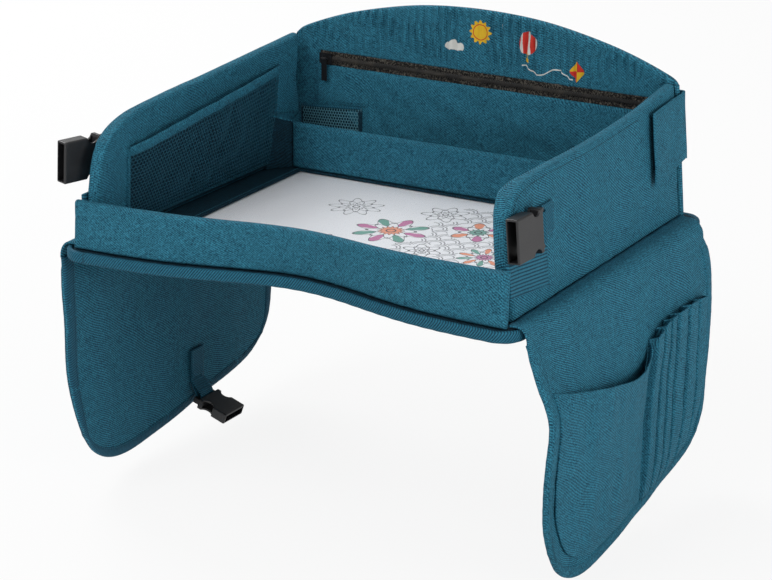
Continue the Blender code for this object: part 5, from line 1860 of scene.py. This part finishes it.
# Wings: one cloth from the foot of the wall, over the edge of the base and down
wingLook = {
    "axisX": 0.2163,
    "topZ": -0.0115,
    "blendTop": -0.0040,
    "blendFoot": -0.0260,
    "frontY": -0.006,
    "length": 0.331,
    "drop": {-1: 0.2015, 1: 0.2150},
    "belly": {-1: (-0.002, 0.007), 1: (0.024, 0.004)},
    "thickness": 0.005,
    "pitch": 0.0042,
    "rim": 0.004,
    "hemThickness": 0.0060,
    "hemAlong": 0.043,
    "hemDown": 0.058,
    "lipThickness": 0.0016,
    "lipFront": -0.004,
    "lipBack": 0.3142,
    "lipTop": 0.0034,
    "lipDrop": 0.0110,
    "lipReach": 0.0180,
    "lipLine": [(0, 0), (0.48, 0), (0.70, 0.12), (0.87, 0.36), (0.97, 0.66), (1, 1)],
    "front": [(0.006, 0), (0, 0.16), (0.003, 0.38), (0.015, 0.575), (0.033, 0.71), (0.060, 0.816)],
    "bottom": [(0.060, 0.816), (0.104, 0.912), (0.170, 0.975), (0.262, 1), (0.395, 0.985)]
    + [(0.585, 0.940), (0.740, 0.902), (0.866, 0.865), (0.935, 0.797)],
    "back": [(0.968, 0), (0.991, 0.055), (1.004, 0.16), (1.004, 0.33), (0.990, 0.55), (0.970, 0.71)]
    + [(0.935, 0.797)],
    "bellyShares": [(0, 0), (0.06, 0.24), (0.15, 0.56), (0.22, 0.86), (0.30, 1), (0.45, 0.86)]
    + [(0.6, 0.72), (1, 0.62)],
}


def wingPlace(side):
    look = wingLook
    shares = smoothLine(look["bellyShares"], np.linspace(0, 1, 80))
    belly, bellyBack = look["belly"][side]
    drop = look["drop"][side]

    def place(y, z, out):
        y, z, out = np.broadcast_arrays(y, z, out)
        down = (look["topZ"] - z) / drop
        back = (y - look["frontY"]) / look["length"]
        bow = np.interp(down, shares[:, 0], shares[:, 1]) * (belly + (bellyBack - belly) * back)
        loose = np.clip(down * 6, 0, 1)
        sway = ripple(y, z, 0.16, 151 + side) * 0.0011 + ripple(y, z, 0.06, 155 + side) * 0.0004
        return np.stack([side * (look["axisX"] + bow + out + sway * loose), y, z], -1)

    return place


def wingCurve(shares, side):
    look = wingLook
    drop = look["drop"][side]
    return [(look["frontY"] + a * look["length"], look["topZ"] - b * drop) for a, b in shares]


def wingPly(side, label):
    start = (side * wingLook["axisX"], 0, wingLook["blendTop"] - trayOrigin[2])
    end = (side * wingLook["axisX"], 0, wingLook["blendFoot"] - trayOrigin[2])
    return "base", label + "_wing", start, end


def dressWing(side, label, place):
    look = wingLook
    drop = look["drop"][side]
    sides = [
        wingCurve([look["front"][0], look["back"][0]], side),
        wingCurve(look["bottom"], side),
        wingCurve(look["front"], side),
        wingCurve(look["back"], side),
    ]
    columns = steps(look["length"], look["pitch"], look["rim"])
    rows = np.concatenate([[0.008], steps(drop, look["pitch"], look["rim"])[5:]])
    y, z = patchGrid(sides, columns, rows)
    fat = roundRim(columns, rows, look["length"], drop, look["rim"], "nearFarHigh")
    grow = np.clip((look["topZ"] - z) / 0.020, 0, 1)
    half = (look["lipThickness"] + (look["thickness"] - look["lipThickness"]) * grow) / 2
    face = look["thickness"] / 2 - 0.0003
    tuck = ripple(y, z, 0.03, 161 + side) * 0.0003 + ripple(y, z, 0.014, 165 + side) * 0.00014
    tuck = tuck * np.clip((look["topZ"] - z) / 0.030, 0, 1)
    outer = place(y, z, face - half + half * fat + tuck)
    inner = place(y, z, face - half - half * fat + tuck * 0.5)
    # cloth over the edge of the base
    lip = smoothLine(look["lipLine"], np.linspace(0, 1, 14))
    lipY = look["lipFront"] + columns * (look["lipBack"] - look["lipFront"])
    seamX = wallLook["frontWidth"] / 2 - toe * lipY + 0.0008
    endX = wallLook["frontWidth"] / 2 + look["lipReach"] + 0.0004
    x = seamX[None, :] + lip[:, :1] * (endX - seamX[None, :])
    high = look["lipTop"] - lip[:, 1:] * (look["lipTop"] + look["lipDrop"])
    high = high + 0 * x
    slope = np.gradient(np.stack([x, high], -1), axis=0)
    slope /= np.linalg.norm(slope, axis=-1)[..., None]
    under = np.stack([slope[..., 1], -slope[..., 0]], -1) * look["lipThickness"]
    wave = ripple(lipY[None, :], high, 0.05, 171 + side) * 0.0005 * lip[:, :1] * (1 - lip[:, 1:])
    pucker = ripple(lipY[None, :], high * 0, 0.012, 175 + side) * 0.0003 * (1 - lip[:, :1])
    high = high + wave + pucker
    lipOuter = np.stack([side * x, np.broadcast_to(lipY, x.shape), high], -1)
    lipInner = np.stack([side * (x + under[..., 0]), lipOuter[..., 1], high + under[..., 1]], -1)
    outer = np.concatenate([lipOuter, outer])
    inner = np.concatenate([lipInner, inner])
    run = np.linalg.norm(np.diff(outer, axis=0), axis=-1)
    run = np.concatenate([np.zeros((1, run.shape[1])), np.cumsum(run, 0)])
    spots = gridSpots(outer[..., 1], -run)
    name = label + "WingCloth"
    stands = (label + "_wing_panel", label + "_wing_lip")
    piece = addSkin(name, outer, inner, spots, wateredTeal, None, stands)
    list(wingPly(side, label))
    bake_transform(piece)
    dressHem(side, label, place, sides)


def dressHem(side, label, place, sides):
    # folded hem band round the free edges, with its row of stitches
    look = wingLook
    columns = np.linspace(0, 1, 70)
    rows = np.linspace(0, 1, 46)
    near = look["hemAlong"]
    bottom = 1 - look["hemDown"]
    outerY, outerZ = patchGrid(sides, columns, rows)
    innerY, innerZ = patchGrid(sides, near + columns * (1 - 2 * near), rows * bottom)
    last = len(rows) - 1
    path = [(i, 0) for i in range(last)]
    path += [(last, j) for j in range(len(columns))]
    path += [(i, len(columns) - 1) for i in range(last - 1, -1, -1)]
    rim = np.array([(outerY[p], outerZ[p]) for p in path])
    inset = np.array([(innerY[p], innerZ[p]) for p in path])
    half = look["hemThickness"] / 2
    profile = [(0, 0.80), (0.03, 1.0), (0.5, 1.04), (0.82, 0.98), (0.93, 0.78), (0.985, 0.42)]
    profile += [(s, -t) for s, t in profile[::-1]]
    run = np.concatenate([[0], np.cumsum(np.linalg.norm(np.diff(rim, axis=0), axis=1))])
    pucker = 1 + 0.03 * np.sin(run * 2 * math.pi / 0.011)
    sections = []
    for share, thick in profile:
        flat = inset + (rim - inset) * share
        grow = np.clip((look["topZ"] - flat[:, 1]) / 0.010, 0.45, 1)
        sections.append(place(flat[:, 0], flat[:, 1], half * thick * pucker * grow))
    sections = np.array(sections).transpose(1, 0, 2)
    name = label + "WingHem"
    stands = (label + "_wing_binding",)
    material = hemCloth[side]
    piece = addTube(name, sections, material, None, stands)
    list(wingPly(side, label))
    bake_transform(piece)
    flat = inset + (rim - inset) * 0.12
    lines = []
    for sign in (1, -1):
        out = sign * (half * 1.03)
        route = place(flat[:, 0], flat[:, 1], out)
        normals = np.tile([side * sign, 0, 0.0], (len(route), 1))
        lines.append((route, normals))
    addStitches(label + "HemStitches", lines, None, ply=wingPly(side, label))


hemLook = dict(
    webbingLook,
    deep=shade(4, 42, 60),
    bright=shade(42, 118, 146),
    ribPitch=0.0022,
    crossPitch=0.0009,
    slant=0.25,
    relief=0.0003,
)
hemCloth = {-1: ribbedWebbing("ribbedHem", hemLook), 1: teal}
bookLook = {
    "top": [(0.036, 0.176), (0.109, 0.204), (0.266, 0.2535), (0.429, 0.300), (0.529, 0.291)]
    + [(0.572, 0.240)],
    "front": [(0.036, 0.176), (0.037, 0.37), (0.053, 0.575), (0.071, 0.70), (0.104, 0.80)],
    "foot": [(0.104, 0.80), (0.140, 0.858), (0.20, 0.902), (0.30, 0.929), (0.42, 0.914)]
    + [(0.548, 0.886)],
    "edge": [(0.572, 0.240), (0.566, 0.5), (0.548, 0.886)],
    "bulge": 0.0105,
    "skin": 0.0014,
    "gap": 0.0004,
    "tallShare": 0.70,
    "wideShare": 0.50,
    "pitch": 0.0036,
    "seamInset": 0.0025,
}


def dressBookPocket(side, label, place):
    look = bookLook
    sides = [wingCurve(look[key], side) for key in ("top", "foot", "front", "edge")]
    tall = look["tallShare"] * wingLook["drop"][side]
    wide = look["wideShare"] * wingLook["length"]
    columns = steps(wide, look["pitch"], 0.003)
    rows = steps(tall, look["pitch"], 0.0016)
    y, z = patchGrid(sides, columns, rows)
    arch = np.sin(math.pi * np.clip(columns, 0, 1))
    along = np.where(columns < 0.5, arch**1.15, arch**0.5)
    down = np.maximum(0, np.cos(math.pi / 2 * rows)) ** 0.6
    stand = wingLook["thickness"] / 2 + look["gap"]
    puff = look["bulge"] * np.outer(down, along)
    folds = ripple(y, z, 0.035, 181 + side) * 0.0005 + ripple(y, z, 0.012, 185 + side) * 0.00016
    puff = puff + folds * np.minimum(1, puff / 0.003)
    edgeRoll = 0.0012 * np.exp(-((rows / 0.035) ** 2))[:, None] * np.minimum(1, puff / 0.003)
    thin = roundRim(columns, rows, wide, tall, 0.0012, "Low") * look["skin"] / 2
    middle = stand + puff + look["skin"] / 2 + edgeRoll
    front = place(y, z, middle + thin + 0.0002)
    back = place(y, z, middle - thin)
    name = label + "BookPocket"
    stands = (label + "_book_pocket",)
    body = label + "_wing"
    piece = addSkin(name, front, back, gridSpots(y, z), teal, body, stands)
    declareCut(piece, front)
    lines = []
    inset = look["seamInset"]
    for key, shift in (("front", (inset, 0)), ("foot", (0, inset))):
        curve = np.array(wingCurve(look[key], side)) + shift
        flat = smoothLine(curve, np.linspace(0, 1, 70))
        route = place(flat[:, 0], flat[:, 1], stand + look["skin"] + 0.0006)
        lines.append((route, np.tile([side, 0, 0.0], (70, 1))))
    addStitches(name + "Stitches", lines, body)


sleeveLook = {
    "top": [(0.577, 0.235), (0.64, 0.212), (0.72, 0.203), (0.83, 0.206), (0.938, 0.226)],
    "front": [(0.577, 0.235), (0.571, 0.5), (0.553, 0.884)],
    "back": [(0.938, 0.226), (0.940, 0.45), (0.932, 0.60), (0.910, 0.722)],
    "foot": [(0.553, 0.884), (0.70, 0.858), (0.83, 0.815), (0.910, 0.722)],
    "widths": [0.155, 0.13, 0.115, 0.20, 0.20, 0.20],
    "fullness": [1, 1, 1, 1, 0.9, 0.7],
    "grooveShadeHalf": 0.0015,
    "foldShares": [0, 0.06, 0.108, 0.11, 0.117, 0.128, 0.145, 0.17, 0.20, 0.25, 0.35, 0.5],
    "gapShare": 0.11,
    "riseShare": 0.09,
    "bulge": 0.0056,
    "scallop": 0.0022,
    "skin": 0.0012,
    "gap": 0.0016,
}


def dressSleeves(side, label, place):
    look = sleeveLook
    sides = [wingCurve(look[key], side) for key in ("top", "foot", "front", "back")]
    widths = np.array(look["widths"]) / sum(look["widths"])
    edges = np.concatenate([[0], np.cumsum(widths)])
    columns = []
    arch = []
    half = look["foldShares"]
    for first, last, full in zip(edges[:-1], edges[1:], look["fullness"]):
        for share in half + [1 - s for s in half[-2:0:-1]]:
            columns.append(first + (last - first) * share)
            rise = min(1, max(0, (min(share, 1 - share) - look["gapShare"]) / look["riseShare"]))
            crown = 0.9 + 0.1 * math.sin(math.pi * share)
            arch.append(full * math.sqrt(1 - (1 - rise) ** 2) * crown)
    columns = np.array(columns + [1.0])
    arch = np.array(arch + [0.0])
    rows = np.concatenate([[0, 0.004, 0.012], np.linspace(0.03, 1, 34)])
    y, z = patchGrid(sides, columns, rows)
    fade = np.maximum(0, np.cos(math.pi / 2 * np.maximum(0, (rows - 0.6) / 0.4))) ** 0.6
    bulge = look["bulge"] * np.outer(fade, arch)
    stand = wingLook["thickness"] / 2 + 0.0002 + (look["gap"] - 0.0002) * arch[None, :]
    flute = ripple(y, z * 0.25, 0.014, 195) * 0.00018 * arch[None, :]
    mouth = 0.0012 * np.exp(-((rows / 0.03) ** 2))[:, None] * arch[None, :]
    low = stand + bulge + flute + mouth
    front = place(y, z, low + look["skin"])
    back = place(y, z, low)
    scallop = look["scallop"] * np.exp(-((rows / 0.05) ** 2))[:, None] * arch[None, :]
    front[..., 2] += scallop
    back[..., 2] += scallop
    name = label + "PenSleeves"
    stands = (label + "_pen_sleeves",)
    body = label + "_wing"
    piece = addSkin(name, front, back, gridSpots(y, z), teal, body, stands)
    declareCut(piece, front)
    lines = []
    base = wingLook["thickness"] / 2
    for k, edge in enumerate(edges[1:-1]):
        a, b = patchGrid(sides, [edge, edge], np.linspace(0.02, 0.98, 40))
        route = place(a[:, 0], b[:, 0], base + look["skin"] + 0.0008)
        lines.append((route, np.tile([side, 0, 0.0], (40, 1))))
        # a dark strip under each seam: painted shade for the shadow deep in the groove between sleeves
        half = look["grooveShadeHalf"]
        shift = np.linspace(-half, half, 5)[None, :]
        front = place(a[:, :1] + shift, b[:, :1], base + look["skin"] + 0.0006)
        back = place(a[:, :1] + shift, b[:, :1], base + look["skin"] - 0.0006)
        tape = gridSpots(shift, b[:, :1])
        addSkin(name + "Tape" + str(k), front, back, tape, darkLiningAndPaintedShade, body)
    addStitches(name + "Stitches", lines, body, material=darkThread)


legLook = {
    "barY": 0.187,
    "barZ": -0.195,
    "drop": 0.0086,
    "length": 0.045,
    "width": 0.020,
    "face": 0.0029,
}


def flatWingPlace(side):
    # the wing without its soft sway, as the CAD's buckle bars follow it
    look = wingLook
    shares = np.array(look["bellyShares"])
    belly, bellyBack = look["belly"][side]
    drop = look["drop"][side]

    def place(y, z, out):
        down = (look["topZ"] - z) / drop
        back = (y - look["frontY"]) / look["length"]
        bow = np.interp(down, shares[:, 0], shares[:, 1]) * (belly + (bellyBack - belly) * back)
        return np.array([side * (look["axisX"] + bow + out), y, z])

    return place


for side, label in ((-1, "left"), (1, "right")):
    place = wingPlace(side)
    dressWing(side, label, place)
    dressBookPocket(side, label, place)
    if side > 0:
        dressSleeves(side, label, place)
    look = legLook
    inward = np.array([-side, 0, 0.0])
    bar = flatWingPlace(side)(look["barY"], look["barZ"], -look["face"]) + look["drop"] * inward
    dressTab(
        label + "LegTab",
        bar,
        np.array([0, 0, 1.0]),
        -inward,
        np.array([0, 1.0, 0]),
        look["drop"],
        look["length"],
        look["width"],
        label + "_wing",
        (label + "_leg_tab",),
    )
print("wings dressed")

# Buckles and hidden boards keep their CAD shapes
boardLook = {"pale": shade(214, 212, 204), "fleck": shade(188, 184, 172)}


def stiffBoard(name, look):
    paint = Paint(name, 0.7)
    flecks = paint.noise(700.0, 4.0).ramp(0.5, 0.7)
    paint.set(colour=paint.mix(flecks, look["pale"], look["fleck"]))
    return paint.material


board = stiffBoard("stiffBoard", boardLook)
for name, node in nodes.items():
    if name.endswith("buckle"):
        node.data.materials.clear()
        node.data.materials.append(plastic)
        node.data.shade_smooth()
        node.data.set_sharp_from_angle(angle=math.radians(35))
    elif name.endswith("_board"):
        node.data.materials.clear()
        node.data.materials.append(board)
print("buckles and boards finished")


# Studio: pale floor, white surroundings, soft lamps
studioLook = {
    "floorSize": 14.0,
    "floorDrop": 0.0005,
    "floorGrey": 0.8,
    "floorGlow": 0.88,
    "skyStrength": 0.40,
    "lamps": [
        # name, place, size, watts
        ("keyLamp", (-1.0, -2.5, 2.6), 2.0, 58.0),
        ("sideLamp", (2.6, -0.7, 0.5), 1.2, 26.0),
        ("rimLamp", (-2.2, 1.2, 1.8), 1.6, 50.0),
    ],
}


def makeStudio(look):
    low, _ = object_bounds()
    half = look["floorSize"] / 2
    mesh = bpy.data.meshes.new("floor")
    corners = [(-half, -half, 0), (half, -half, 0), (half, half, 0), (-half, half, 0)]
    mesh.from_pydata(corners, [], [(0, 1, 2, 3)])
    floor = bpy.data.objects.new("floor", mesh)
    floor.location = (0, 0, low.z - look["floorDrop"])
    bpy.context.scene.collection.objects.link(floor)
    floor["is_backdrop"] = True
    paint = Paint("floorPaint", 0.9)
    paint.set(colour=(look["floorGrey"],) * 3)
    rays = paint.node("ShaderNodeLightPath", {}, [], "Is Camera Ray")
    gloss = paint.node("ShaderNodeLightPath", {}, [], "Is Glossy Ray")
    through = paint.node("ShaderNodeLightPath", {}, [], "Is Transmission Ray")
    glow = paint.node("ShaderNodeEmission", {}, {"Color": (1.0, 1.0, 1.0), "Strength": 1.0})
    seen = (rays + gloss + through).least(1.0)
    both = paint.node("ShaderNodeMixShader", {}, [seen * look["floorGlow"]])
    mixer = both.socket.node
    paint.tree.links.new(paint.shader.outputs[0], mixer.inputs[1])
    paint.tree.links.new(glow.socket, mixer.inputs[2])
    paint.tree.links.new(both.socket, paint.tree.nodes["Material Output"].inputs[0])
    mesh.materials.append(paint.material)
    world = bpy.data.worlds.new("studio")
    world.use_nodes = True
    bpy.context.scene.world = world
    tree = world.node_tree
    sky = tree.nodes["Background"]
    path = tree.nodes.new("ShaderNodeLightPath")
    add = tree.nodes.new("ShaderNodeMath")
    add.operation = "ADD"
    tree.links.new(path.outputs["Is Camera Ray"], add.inputs[0])
    tree.links.new(path.outputs["Is Transmission Ray"], add.inputs[1])
    bright = tree.nodes.new("ShaderNodeMapRange")
    tree.links.new(add.outputs[0], bright.inputs[0])
    bright.inputs[3].default_value = look["skyStrength"]
    bright.inputs[4].default_value = 1.0
    sky.inputs[0].default_value = (1, 1, 1, 1)
    tree.links.new(bright.outputs[0], sky.inputs[1])
    for name, place, size, watts in look["lamps"]:
        data = bpy.data.lights.new(name, "AREA")
        data.size = size
        data.energy = watts
        lamp = bpy.data.objects.new(name, data)
        lamp.location = place
        aim = Vector((0, 0, 0)) - Vector(place)
        lamp.rotation_euler = aim.to_track_quat("-Z", "Y").to_euler()
        bpy.context.scene.collection.objects.link(lamp)
    bpy.context.scene.view_settings.view_transform = "Standard"


makeStudio(studioLook)
print("studio made")

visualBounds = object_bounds()
sizes = {"cad": cadBounds, "visual": visualBounds}
{key: [list(c) for c in box] for key, box in sizes.items()}
